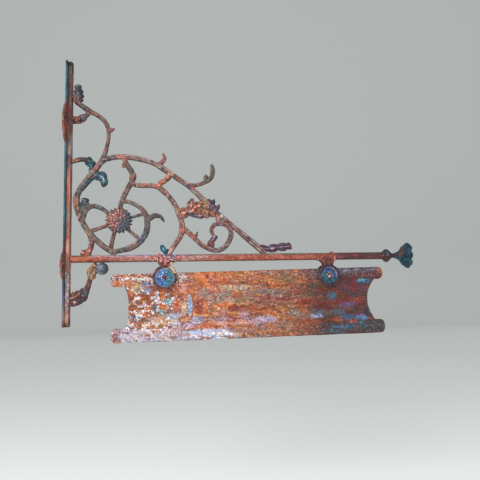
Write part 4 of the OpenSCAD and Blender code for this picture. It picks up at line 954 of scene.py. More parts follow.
def paint_bar(V, N, crest):
    z = V[:, 2]
    n = fbm(V, (9, 9, 20), 73, 3)
    f = fbm(V, (3, 3, 7), 74, 3)
    side = bands(z + 16 * n, [(540, "ink"), (522, "olive"), (500, "mud"), (470, "olive"), (455, "plum"), (436, "brown"), (420, "brown"), (400, "brick"),
                              (380, "mud"), (350, "brown"), (330, "olive"), (310, "mud"), (290, "dusty"), (270, "maroon"), (245, "plum"), (235, "rust"), (200, "orange"), (165, "rust"),
                              (120, "taupe"), (60, "rust"), (40, "salmon"), (-5, "dusty"), (-25, "taupe"), (-60, "grey"), (-110, "dusty"),
                              (-130, "dusty"), (-160, "salmon"), (-176, "umber")])
    # The +X face in darker colours than the sides: painted shade over the coat's own colours.
    front = bands(z + 16 * n, [(540, "ink"), (500, "navy"), (480, "slate"), (470, "rust"), (445, "brown"), (400, "maroon"), (360, "umber"), (300, "slate"),
                               (240, "maroon"), (180, "plum"), (150, "brown"), (100, "umber"), (40, "brown"), (-20, "maroon"), (-60, "plum"),
                               (-120, "umber"), (-150, "maroon"), (-176, "ink")])
    col = lerp(side, front, step(0.3, 0.75, N[:, 0]))
    col = lerp(col, LIN["olive"][None, :], 0.75 * step(0.1, 0.45, f) * np.exp(-((V[:, 0] - 8) / 1.6) ** 2) * step(-0.2, 0.3, n))
    col = lerp(col, LIN["orange"][None, :], 0.32 * step(0.2, 0.6, fbm(V, (6, 6, 26), 77, 3)))
    # Painted highlight: a dusty pink strip along the middle of the side face.
    col = lerp(col, LIN["dusty"][None, :], 0.4 * np.exp(-((V[:, 0] - 10) / 1.2) ** 2) * step(-0.1, 0.5, f))
    col = lerp(col, LIN["slate"][None, :], 0.4 * step(0.25, 0.6, fbm(V, (7, 7, 14), 78, 3)))
    # Navy and maroon on the side next to the +X face: partly painted shade running round the corner.
    edge = step(10.2, 12.2, V[:, 0] + 0.8 * f) * (1 - step(0.3, 0.75, N[:, 0]))
    col = lerp(col, LIN["navy"][None, :], 0.85 * edge * step(428, 470, z + 14 * n))
    col = lerp(col, LIN["maroon"][None, :], 0.55 * edge * step(470, 428, z + 14 * n) * step(-0.3, 0.3, n))
    pale = (step(-20, -35, z) * step(-135, -115, z))
    col = lerp(col, LIN["cream"][None, :], 0.45 * pale * step(0.25, 0.55, fbm(V, 2.6, 79, 2)))
    # Painted shade in the hollows, kept off the corner next to the plate.
    hollow = np.clip(1 - crest + 0.25 * f, 0, 1) * step(6.0, 8.5, V[:, 0])
    col = lerp(col, LIN["umber"][None, :] * 0.6, 0.7 * step(0.42, 0.9, hollow))
    # Painted light: the corner next to the plate made lighter, against the shade that falls there.
    col = col * (1 + 0.5 * step(8.5, 6.5, V[:, 0]))[:, None]
    cap = step(523, 527, z + 2 * n) + step(-170, -175, z)
    col = col * np.interp(z, [-176, -60, 60, 300, 345, 420, 450, 534], [1.7, 1.7, 1.66, 1.6, 1.45, 1.0, 0.64, 0.64])[:, None]
    col = lerp(col, np.mean(col, 1)[:, None] + 0 * col, 0.22)
    return np.clip(lerp(col, LIN["ink"][None, :], 0.85 * np.clip(cap, 0, 1)) * (1 + 0.2 * f)[:, None], 0, 1)


worn("wall_plate", 1.25, paint_plate, MAT["wall_iron"], soft=2, lumps=0.28, size=9, seed=71)
worn("spine_bar", 0.95, paint_bar, MAT["bar_iron"], soft=1, lumps=0.22, size=7, seed=73, carve=carve_bar)
worn("top_lug", 0.8, lambda V, N, c: 0.85 * paint(V, 81, "brick", "maroon", "umber", "dusty", c, spots([(76, 119, 3, "brick", .6), (78, 124, 2.5, "maroon", .6)]), third="brown"),
     MAT["bar_iron"], soft=3, lumps=0.5, size=6, seed=81)
worn("hub_disc", 0.8, lambda V, N, c: paint(V, 82, "maroon", "brick", "ink", "rose", c), MAT["rosette_iron"], soft=2, lumps=0.3, seed=82)
worn("hub_rivet", 0.5, lambda V, N, c: paint(V, 83, "slate", "maroon", "ink", "pale_blue", c), MAT["rosette_iron"], soft=2, lumps=0.15, size=3, seed=83)

P = Parts()
for k, z in enumerate([500, 310, 90, -145]):
    V, Q, T, cr, al, rr, aa = turned([(0.3, 0), (0.3, 3), (13.6, 3), (14.6, 3.0), (15.2, 2.6), (15.7, 1.6), (15.78, 0)], (0, 0, z), "x", 1, 24, 0.6, 84 + k, 0.08)
    P.add(V, Q, T, paint(V, 84 + k, "umber", "maroon", "ink", "rose", cr), cr)
P.make("spine_rivets_forged", ["spine_rivets"], "bracket", "bar_iron", MAT["bar_iron"])


def arm_wave(al, rr, aa):
    on = (rr > 8) * 1.0
    oct_ = 0.022 * (np.cos(8 * aa) - 1) * 0.5
    line = -0.018 * np.exp(-((np.abs(np.cos(aa)) - 0.98) / 0.012) ** 2)
    lat = -0.03 * np.exp(-((np.sin(aa) - 0.52) / 0.07) ** 2)
    worn_in = (1 - step(26, 30, np.abs(al - 267))) + (1 - step(26, 30, np.abs(al - 697)))
    return al, rr * (1 + on * (oct_ + line + lat)) - (0.12 + 0.4 * worn_in) * on


V, Q, T, cr, al, rr, aa = turned([(0.2, 0), (0.2, 6.9), (14.9, 6.9), (15.0, 10), (857, 10), (857, 0)], (0, 0, 0), "x", 1, 56, 2.2, 91, 0.10, arm_wave)
n1, n2 = fbm(V, (26, 7, 7), 92, 3), fbm(V, (8, 3, 3), 93, 3)
x, nz, ny = V[:, 0], np.sin(aa), np.cos(aa)
col = bands(x + 22 * n1, [(14, "rust"), (30, "orange"), (76, "rust"), (90, "brick"), (180, "dusty"), (250, "rose"), (330, "dusty"), (430, "rust"),
                          (520, "brick"), (620, "rust"), (700, "brick"), (760, "maroon"), (860, "maroon")])
col = lerp(col, LIN["fire"][None, :], 0.5 * step(0.15, 0.5, fbm(V, (18, 5, 5), 94, 3)))
col = lerp(col, LIN["rose"][None, :], 0.6 * step(0.0, 0.45, n2) * step(0.75, 0.2, np.abs(nz)) * step(780, 640, x))
# The upper side in paler lilac, violet and taupe: partly painted highlight along the top, over the coat's colours.
top = step(0.42, 0.62, nz + 0.12 * n2)
col = lerp(col, bands(x + 30 * n1, [(14, "umber"), (60, "taupe"), (120, "lilac"), (280, "violet"), (360, "taupe"), (560, "taupe"), (700, "plum"), (860, "umber")]),
           0.75 * top)
col = lerp(col, LIN["moss"][None, :], 0.8 * top * step(0, 0.3, n2 + 0.2) * (1 - step(26, 36, np.abs(x - 608))))
col = lerp(col, LIN["blue"][None, :], 0.6 * (1 - step(8, 14, np.abs(x - 284))) * step(-0.1, 0.3, n2))
# Painted shade: the underside darkened to umber.
col = lerp(col, LIN["umber"][None, :], 0.7 * step(-0.5, -0.85, nz + 0.1 * n2))
# Painted shade in the arm's hollows and in the worn seats of the straps.
col = lerp(col, LIN["umber"][None, :] * 0.7, 0.7 * step(0.5, 0.2, cr + 0.2 * n2))
# Painted glints: white dots, thickest around x = 285.
glints = step(0.42, 0.72, fbm(V, 3.0, 95, 2)) * (0.25 + 0.6 * (1 - step(60, 120, np.abs(x - 285))))
col = lerp(col, LIN["white"][None, :], 0.75 * glints)
col = lerp(col, LIN["maroon"][None, :], 0.5 * step(700, 780, x + 40 * n1))
col = np.clip(col * (np.interp(x, [14, 60, 250, 560, 700, 780, 860], [0.80, 0.84, 0.95, 0.95, 0.85, 0.62, 0.58]) * (1 + 0.24 * n2))[:, None], 0, 1)
make("arm_bar_forged", V, Q, T, col, np.clip(cr + 0.2 * n2, 0, 1.1), ["arm_bar"], "bracket", MAT["arm_iron"])

V, Q, T, cr, al, rr, aa = turned([(845, 0), (845, 4), (857, 4), (857.1, 10.6), (859, 11.6), (860.6, 11.0), (861.6, 12.8), (864, 16.2), (867, 17.8), (869.5, 18),
                                  (872, 17.6), (875, 15.6), (877.6, 12.4), (878.6, 10.6), (880, 10.8), (881.4, 9.6), (882, 8.8), (882, 0)],
                                 (0, 0, 0), "x", 1, 64, 0.6, 96, 0.22)
col = paint(V, 96, "maroon", "umber", "ink", "brick", cr, [], mottle=10, highlight_amt=0.35, glint_and_grime_specks=0.2)
col = lerp(col, lerp(np.broadcast_to(LIN["petrol"], V.shape), LIN["navy"][None, :], step(-0.2, 0.4, fbm(V, 6, 98, 2))),
           0.92 * step(-0.25, 0.35, V[:, 2] / 18 + 0.5 * fbm(V, 7, 97, 2)))
col = col * 0.6
make("finial_knop_turned", V, Q, T, col, cr, ["finial_knop"], "bracket", MAT["arm_iron"])


def petal_wave(al, rr, aa):
    """Eight fat petals: shallow notches across the rolled rim, a rib down each and a dimple on its lip."""
    notch = 1 - np.abs(np.cos(4 * aa)) ** 0.6
    k = step(9, 26, rr)
    rr2 = rr - (rr - 10).clip(0) * 0.17 * notch * k
    al2 = al - (al - 905).clip(0) * 0.13 * notch * k
    rib = np.exp(-(np.sin(4 * aa) / 0.2) ** 2) * (np.abs(np.cos(4 * aa)) > 0.5)
    rr2 = rr2 - 0.7 * rib * k + 0.5 * np.cos(8 * aa) * step(8, 20, rr)
    return al2 - 4.5 * np.cos(aa) ** 2 * step(14, 30, rr), rr2


flower = [(882, 0), (882, 7.4), (885, 6.4), (887, 5.9), (889, 6.4), (890.5, 7.2), (891.5, 6.7), (896, 8), (902, 11), (908, 15.2), (914, 20.4), (918.6, 25.4),
          (922.6, 30.6), (927, 34.4), (931.5, 35.4), (935, 33.4), (936.8, 30), (936.2, 27.4), (933.6, 26), (929, 24.4), (922, 19.5), (915, 14),
          (908, 8.5), (901, 4.5), (898.2, 0)]
V, Q, T, cr, al, rr, aa = turned(flower, (0, 0, 0), "x", 1, 192, 0.75, 98, 0.3, petal_wave)
inner = step(29, 25, rr) * step(930, 934, V[:, 0] + 2 * rr / 36) + step(2, 5, V[:, 0] - 898 - 34 * (rr / 26))
n2 = fbm(V, 6, 99, 3)
n3 = fbm(V, 3.4, 100, 2)
col = lerp(np.broadcast_to(LIN["petrol"], V.shape), LIN["teal"][None, :], step(-0.2, 0.4, n2))
col = lerp(col, LIN["ink"][None, :], 0.75 * step(0.0, 0.5, -n3 - 0.4 * n2))
# Painted shade in the hollows of the petals.
col = lerp(col, LIN["ink"][None, :], 0.8 * step(0.45, 0.15, cr + 0.2 * n2))
lobe = step(17, 27, rr) * step(905, 913, V[:, 0])
col = lerp(col, LIN["navy"][None, :], 0.7 * lobe * step(-0.2, 0.3, n2))
throat = step(899, 904, V[:, 0] + 3 * n2) * (1 - lobe) * step(-0.35, 0.15, np.sin(aa) + 0.5 * n2)
col = lerp(col, LIN["brown"][None, :] * 0.8, 0.85 * throat)
col = lerp(col, LIN["plum"][None, :] * 0.6, 0.7 * throat * step(0.1, 0.5, n3))
# Painted shade inside the cup and under the rolled lip.
col = lerp(col, LIN["umber"][None, :] * 0.6, 0.7 * np.clip(inner, 0, 1) * step(-0.4, 0.4, n2))
col = lerp(col, LIN["maroon"][None, :], 0.7 * step(9, 7.5, rr))
gleam = spots([(408.8, 250.5, 1.2, "sky", .9), (409.5, 247, 2.6, "blue", .9), (410.6, 265.2, 3.0, "azure", .95), (406, 262, 1.6, "teal", .8)])
for gx, gz, gr, name, s in gleam:
    col = lerp(col, LIN[name][None, :], s * step(1.15, 0.5, np.hypot(V[:, 0] - gx, V[:, 2] - gz) / gr + 0.25 * n3))
col = np.clip(col * (0.72 * (1 + 0.6 * n3))[:, None], 0, 1)
make("finial_flower_petals", V, Q, T, col, cr, ["finial_flower"], "bracket", MAT["flower_paint"])


# ------------------------------------------------------------------ rosettes: three rings of petals round a boss
def rosette(node, side, seed):
    P = Parts()
    cx, cz = 140, 102
    for ring, (n, r0, r1, w, y0, t, off) in enumerate([(20, 9, 35.4, 7.6, 8.0, 3.6, 0.0), (15, 6, 27, 6.8, 10.6, 3.4, 0.5), (10, 4, 16.5, 5.6, 13.0, 3.4, 0.25)]):
        for k in range(n):
            a = 2 * math.pi * (k + off) / n
            c, s = math.cos(a), math.sin(a)
            pts = [[cx + r * c, cz + r * s] for r in np.linspace(r0, r1, 4)]
            V, Q, T, cr = leaf(pts, w * 0.72, 1, w * 0.3, t, cols=9, n=5, seed=seed + k, fold=0.9, nick=0.0)
            d = np.hypot(V[:, 0] - cx, V[:, 2] - cz)
            lift = 1.3 * np.sin(np.clip((d - r0) / (r1 - r0), 0, 1) * math.pi)
            V[:, 1] = V[:, 1] + (y0 + lift) * side
            g = fbm(V, 5, seed + ring, 2)
            tone = [("dusty", "maroon"), ("dusty", "brick"), ("rose", "maroon")][ring]
            col = paint(V, seed + k + 20 * ring, tone[0], tone[1], "ink", "pink", cr, [], mottle=5, hollow_shade_amt=0.95, highlight_amt=0.85, glint_and_grime_specks=0.45)
            # Blue petals towards the lower right; on their high places the paler slate is painted highlight.
            blue = step(-0.05, 0.5, (V[:, 0] - cx) / 34 * 0.9 - (V[:, 2] - cz) / 34 * 0.3 + 0.3 * g)
            col = lerp(col, lerp(np.broadcast_to(LIN["petrol"], col.shape), LIN["slate"][None, :], step(0.5, 1.0, cr)), 0.9 * blue)
            P.add(V, Q, T, col, cr)
    back = [(6.0, 0), (6.0, 26), (7.4, 27.5), (8.6, 25), (9.4, 12), (12.5, 8.2), (14.2, 7.8), (15.2, 6.4), (15.4, 0)]
    V, Q, T, cr, al, rr, aa = turned(back, (cx, 0, cz), "y", side, 56, 0.8, seed + 60, 0.2)
    P.add(V, Q, T, paint(V, seed + 61, "maroon", "brick", "ink", "rose", cr), cr)
    P.make(node + "_petals", [node], "bracket", "rosette_iron", MAT["rosette_iron"])


rosette("rosette_front", -1, 101)
rosette("rosette_back", 1, 131)

# ------------------------------------------------------------------ brace under the arm
stem("brace_scroll", "brace_iron", BRACE, ("maroon", "brick", "ink", "dusty"),
     [(72, 300, 4, "red", .7), (78, 296, 3, "ochre", .6), (76, 301, 2, "cream", .7), (82, 301, 3.5, "petrol", .8), (85, 293, 3, "teal", .8), (88, 280, 4, "maroon", .6),
      # the pink patch at (90, 274) is a painted highlight
      (90, 274, 2, "pink", .6), (84, 286, 4, "navy", .6), (80, 300, 3, "navy", .5)], seed=141, gain=0.72, grey=0.05, groove=0.18, bulge_at=[(0.2, .06, .12), (0.42, .06, .14)], twist_at=[(0.3, .12, .16)])
P = Parts()
for k, (pts, w, y, t) in enumerate([([[70, -54], [72, -40], [76, -26], [80, -6]], 9.5, 0, 11), ([[66, -50], [64, -36], [70, -22], [80, -10]], 4.2, -3.4, 6),
                                    ([[72, -50], [76, -38], [80, -30], [86, -20]], 4.0, -4.2, 6), ([[66, -50], [64, -36], [70, -22], [80, -10]], 4.2, 3.4, 6),
                                    ([[72, -50], [76, -38], [80, -30], [86, -20]], 4.0, 4.2, 6)]):
    V, Q, T, cr = leaf(pts, w, 3 if k == 0 else 1, 3, t, seed=143 + k, fold=1.3, cols=15)
    V[:, 1] += y
    g = np.sin((V[:, 0] * 0.6 + V[:, 2]) * 0.9)
    P.add(V, Q, T, paint(V, 143 + k, "ochre", "brown", "umber", "cream", cr + 0.15 * g, spots([(93, 271, 2, "umber", .5), (90, 276, 3, "cream", .4)]), mottle=6), cr)
P.make("brace_calyx_folds", ["brace_calyx"], "bracket", "calyx_ochre", MAT["calyx_ochre"])
ballp = [(-16.3 * math.cos(a), 16.3 * math.sin(a) * (1 - 0.02 * math.exp(-((a - 1.57) / 0.08) ** 2))) for a in np.linspace(0, math.pi, 60)]
V, Q, T, cr, al, rr, aa = turned(ballp, (97, 0, -26.3), "x", 1, 80, 0.7, 151, 0.3)
g = fbm(V, 9, 152, 3)
# Partly painted light and shade: the left half paler slate, the right half darker petrol.
col = lerp(np.broadcast_to(LIN["slate"] * 1.25, V.shape), LIN["petrol"][None, :], step(-0.1, 0.5, (V[:, 0] - 97) / 16 + 0.35 * g))
col = lerp(col, LIN["grey"][None, :], 0.6 * step(0.1, 0.5, fbm(V, 5, 153, 3)))
col = lerp(col, LIN["navy"][None, :], 0.7 * step(0.25, 0.55, fbm(V, 6, 154, 3)))
# Lilac on the left half: partly painted highlight.
col = lerp(col, LIN["lilac"][None, :], 0.4 * step(0.3, 0.7, fbm(V, 3, 155, 2)) * step(0.1, -0.6, (V[:, 0] - 97) / 16))
col = np.clip(lerp(col, np.mean(col, 1)[:, None] + 0 * col, 0.3) * 1.15, 0, 1)
make("brace_ball_turned", V, Q, T, col, cr, ["brace_ball"], "bracket", MAT["ball_paint"])


# ------------------------------------------------------------------ hangers, roundels, bolts
def paint_hanger(which):
    def f(V, N, crest):
        if which == 0:
            sp = [(163, 257, 3, "plum", .5), (166, 260, 3, "violet", .5), (166, 264, 2, "fire", .6), (164, 267, 3, "olive", .7), (158, 263, 3, "umber", .6), (172, 262, 3, "ink", .6)]
            look = ("rose", "brick", "ink", "cream")
        else:
            sp = [(331, 258, 3, "fire", .5), (333, 262, 3, "rust", .6), (325, 258, 3, "maroon", .7), (330, 264, 2.4, "umber", .6), (337, 258, 2.6, "ink", .7)]
            look = ("brick", "umber", "ink", "salmon")
        return np.clip(paint(V, 161 + which, *look, crest, spots(sp), mottle=7, contrast=0.9, glint_and_grime_specks=0.8) * (0.82 if which else 1.4), 0, 1)
    return f


worn("hanger_left", 0.8, paint_hanger(0), MAT["hanger_iron"], body="sign", soft=3, lumps=0.22, size=6, seed=161)
worn("hanger_right", 0.8, paint_hanger(1), MAT["hanger_iron"], body="sign", soft=3, lumps=0.22, size=6, seed=162)
worn("hanger_bolts", 0.5, lambda V, N, c: paint(V, 163, "brick", "maroon", "ink", "white", c, [], mottle=4), MAT["hanger_iron"], body="sign",
     soft=2, lumps=0.15, size=3, seed=163)
worn("hanger_nuts", 0.5, lambda V, N, c: paint(V, 164, "brown", "maroon", "ink", "rose", c, [], mottle=5), MAT["hanger_iron"], body="sign",
     soft=2, lumps=0.15, size=3, seed=164)


def roundel(node, cx, side, r, seed, style):
    cz = -51
    y0 = 12.6
    prof = [(0, 4.1), (0, r - 0.8), (1, r), (4.2, r), (5.6, r - 0.9), (6.2, r - 2.2), (5.9, r - 3.8), (4.6, r - 5), (3.2, r - 6.2), (3.0, r - 7.6), (3.7, r - 8.4),
            (3.1, r - 9.2), (3.9, r - 10.2), (5.0, r - 11.6), (5.4, r - 13.2), (5.0, r - 15.0), (5.5, r - 16.6), (5.2, 10.4), (5.6, 9.2), (6.4, 7.6), (6.4, 4.1)]
    V, Q, T, cr, al, rr, aa = turned([(y0 + a, b) for a, b in prof], (cx, 0, cz), "y", side, 112, 0.55, seed, 0.2)
    keep = np.ones(len(T), bool)
    n1, n2, n3 = fbm(V, 7, seed + 1, 3), fbm(V, 2.6, seed + 2, 3), fbm(V, 2.0, seed + 3, 2)
    dx, dz = (V[:, 0] - cx) / r, (V[:, 2] - cz) / r
    if style == 0:
        disc = lerp(np.broadcast_to(LIN["blue"], V.shape), LIN["teal"][None, :], step(-0.25, 0.25, dx + 0.3 * n1))
        ring_highlight, ring_mid, rim = LIN["grey"], LIN["slate"], LIN["ink"] * 0.6
    else:
        disc = lerp(np.broadcast_to(LIN["teal"], V.shape), LIN["blue"][None, :], step(-0.2, 0.25, 0.6 * dx + 0.8 * dz + 0.3 * n1))
        ring_highlight, ring_mid, rim = LIN["sky"], LIN["petrol"], LIN["navy"] * 0.7
    disc = lerp(disc, LIN["sky"][None, :], 0.5 * step(0.2, 0.6, n2))
    disc = lerp(disc, LIN["ink"][None, :], 0.6 * step(0.35, 0.7, -n2))
    # Painted highlight: white glints on the middle of the disc.
    disc = lerp(disc, LIN["white"][None, :], 0.85 * step(0.45, 0.7, n3) * step(0.55, 0.2, rr / r))
    rho = rr / r + 0.012 * n2
    # Painted highlight: the pale ring, strongest towards the upper right.
    pale = step(0.62, 0.67, rho) * step(0.80, 0.74, rho) if style == 0 else step(0.67, 0.70, rho) * step(0.78, 0.74, rho)
    col = lerp(disc, ring_highlight[None, :], pale * (0.45 + 0.5 * step(-0.2, 0.4, dx * (1 if style else 0.3) + dz * 0.5 + 0.5 * n1)))
    col = lerp(col, ring_mid[None, :], step(0.73, 0.78, rho) * step(0.86, 0.81, rho) * 0.85)
    col = lerp(col, rim[None, :], step(0.82, 0.86, rho))
    col = lerp(col, LIN["maroon"][None, :], step(0.82, 0.86, rho) * 0.7 * step(-0.1, 0.5, -dx - 0.5 * dz + 0.6 * n1))
    # Painted highlight at the upper right: cream on the rim of the left roundels, lilac on the ring of the right ones.
    if style == 0:
        col = lerp(col, LIN["cream"][None, :], 0.7 * step(0.80, 0.86, rho) * step(0.2, 0.45, dx + dz - 0.9 + 0.5 * n1))
    else:
        col = lerp(col, LIN["lilac"][None, :], 0.7 * step(0.60, 0.70, rho) * step(0.84, 0.76, rho) * step(0.3, 0.8, dx + dz))
    col = lerp(col, LIN["rose"][None, :], 0.55 * step(0.80, 0.9, rho) * step(0.35, 0.7, n3))
    col = lerp(col, LIN["red"][None, :], 0.85 * step(6.5, 4.8, rr) * (1 if style else 0.35))
    col = np.clip(col * (1 + 0.7 * n3 + 0.25 * n2)[:, None] * (1.22 if style == 0 else 0.5), 0, 1)
    make(node + "_turned", V, Q, T[keep], np.clip(col * (1 + 0.15 * n2)[:, None], 0, 1), cr, [node], "sign", MAT["roundel_paint"])


roundel("roundel_front_left", 262, -1, 32, 171, 0)
roundel("roundel_front_right", 702, -1, 29, 175, 1)
roundel("roundel_back_left", 262, 1, 32, 181, 0)
roundel("roundel_back_right", 702, 1, 29, 185, 1)

# ------------------------------------------------------------------ board and its rolls
TILT = math.radians(0.9)


def on_board(V):
    x, z = V[:, 0], V[:, 2]
    return np.stack([488 + x * math.cos(TILT) - z * math.sin(TILT), V[:, 1], -125 + x * math.sin(TILT) + z * math.cos(TILT)], 1)


def board_marks(L):
    """Listed marks (across, down, half width, half height, colour, strength) laid on the flat board."""
    out = []
    for px, py, rx, rz, name, s in L:
        X, Z, _, _, _ = spots([(px, py, 1, name, s)])[0]
        dx, dz = X - 488, Z + 125
        out.append((dx * math.cos(TILT) + dz * math.sin(TILT), dz * math.cos(TILT) - dx * math.sin(TILT), rx * 2.68, rz * 2.75, name, s))
    return out


MARKS = [
    # left: pale, aqua and teal patches, orange drips, the long pale streak and the red drop beside it
    (131, 287, 3.8, 8, "orange", 0.8), (138, 288, 8, 6, "cream", 0.64), (147, 284, 7, 3, "sky", 0.7), (146, 291, 7, 3, "pale_blue", 0.75), (157, 283, 8, 3, "cream", 0.48),
    (163, 296, 2.8, 7, "orange", 0.92), (168, 301, 5, 4, "aqua", 0.85), (168, 302, 2, 2, "azure", 0.7), (155, 308, 3, 4, "teal", 0.85), (150, 305, 3.8, 5, "rust", 0.8),
    (135, 317, 5, 3.5, "teal", 0.8), (136, 320, 3, 2, "navy", 0.6), (144, 314, 5, 4, "orange", 0.69), (165, 319, 15, 5, "cream", 0.56), (172, 316, 8, 4, "pale_blue", 0.8),
    (162, 312, 5, 3, "aqua", 0.6), (150, 324, 10, 3, "cream", 0.48), (176, 305, 3.1, 7, "fire", 0.8), (181, 299, 3.8, 10, "rust", 0.69), (184, 310, 3, 8, "cream", 0.52),
    (190, 306, 2.6, 11, "pale_blue", 0.9), (190, 306, 1.3, 9, "sky", 0.5), (199, 306, 4, 7, "red", 0.75), (199, 305, 2.2, 5, "brick", 0.8), (205, 307, 2, 8, "orange", 0.6),
    (183, 288, 8, 4, "pink", 0.55), (193, 290, 6, 4, "orange", 0.6), (176, 288, 5, 5, "rust", 0.69), (197, 320, 8, 4, "pale_blue", 0.6), (188, 325, 10, 3, "lilac", 0.6),
    (206, 331, 22, 3.2, "pale_blue", 0.75), (222, 333, 16, 2.4, "white", 0.6), (142, 333, 20, 3, "dusty", 0.48), (160, 337, 14, 2.5, "cream", 0.44), (133, 338, 12, 2, "pink", 0.5),
    (129, 276, 15, 2.6, "orange", 0.8), (134, 273.5, 16, 1, "cream", 0.48), (142, 279.5, 14, 1.2, "cream", 0.6), (160, 278, 10, 1.4, "cream", 0.6),
    # middle: orange above, grey-beige below it, the red-brown streak, brick blocks and lilac
    (215, 277, 26, 4, "rust", 0.5), (250, 277, 24, 4, "orange", 0.45), (285, 278, 18, 5, "olive", 0.5), (235, 288, 24, 3.2, "cream", 0.5), (262, 291, 20, 3, "grey", 0.6),
    (282, 299, 30, 2.4, "red", 0.7), (262, 297, 14, 1.6, "brick", 0.8), (300, 300, 12, 2, "rust", 0.6), (218, 300, 10, 3, "grey", 0.6), (240, 300, 12, 2.5, "olive", 0.5),
    (236, 308, 6, 3, "red", 0.7), (254, 308, 8, 4, "rust", 0.8), (270, 307, 6, 3, "brick", 0.7), (220, 312, 8, 4, "dusty", 0.6), (244, 314, 7, 3, "lilac", 0.6),
    (262, 319, 17, 3.2, "lilac", 0.75), (272, 319, 6, 2, "sky", 0.6), (240, 322, 12, 3, "pink", 0.55), (228, 322, 8, 4, "rust", 0.6), (284, 323, 10, 4, "taupe", 0.7),
    (296, 313, 8, 4, "grey", 0.6), (250, 330, 18, 3, "dusty", 0.6), (214, 290, 8, 4, "fire", 0.45), (205, 284, 6, 5, "orange", 0.5), (296, 290, 10, 4, "brick", 0.6),
    # right: dark coats with blue and teal
    (318, 313, 10.3, 4.8, "slate", 0.9), (316, 316, 6.9, 2.4, "pale_blue", 0.72), (310, 322, 13.8, 3.6, "rust", 0.72), (324, 306, 9.2, 4.8, "maroon", 0.72), (332, 296, 5.8, 6, "slate", 0.95),
    (333, 296, 2.9, 3.6, "azure", 0.72), (306, 302, 9.2, 3.6, "red", 0.72), (345, 289, 8, 3.6, "plum", 0.72), (352, 283, 2.8, 9.6, "red", 0.66), (349, 280, 3.4, 6, "maroon", 0.84),
    (362, 280.5, 6.9, 3.1, "azure", 0.95), (361, 280, 3.9, 1.7, "aqua", 0.95), (336, 302, 18.4, 2.4, "red", 0.72), (356, 300, 9.2, 3.6, "brick", 0.72), (346, 305, 9.2, 3.6, "violet", 0.66),
    (338, 312, 9.2, 3.6, "slate", 0.95), (347, 317, 10.3, 2.9, "azure", 0.9), (361, 317, 5.8, 3.6, "sky", 0.9), (352, 321, 6.9, 2.2, "fire", 0.84), (338, 319, 6.9, 2.4, "rust", 0.72),
    (343, 326, 14.9, 2.6, "azure", 0.95), (340, 326.5, 6.9, 1.4, "sky", 0.84), (362, 323, 5.8, 4.8, "teal", 0.95), (356, 329, 9.2, 2.4, "brown", 0.72), (368, 300, 1.8, 16.8, "teal", 0.66),
    (330, 330, 16.1, 2.9, "slate", 0.72), (322, 283, 9.2, 6, "olive", 0.48), (366, 311, 3, 4.8, "navy", 0.84), (372, 326, 4.6, 4.8, "umber", 0.84), (378, 325, 2.8, 6, "petrol", 0.95),
]


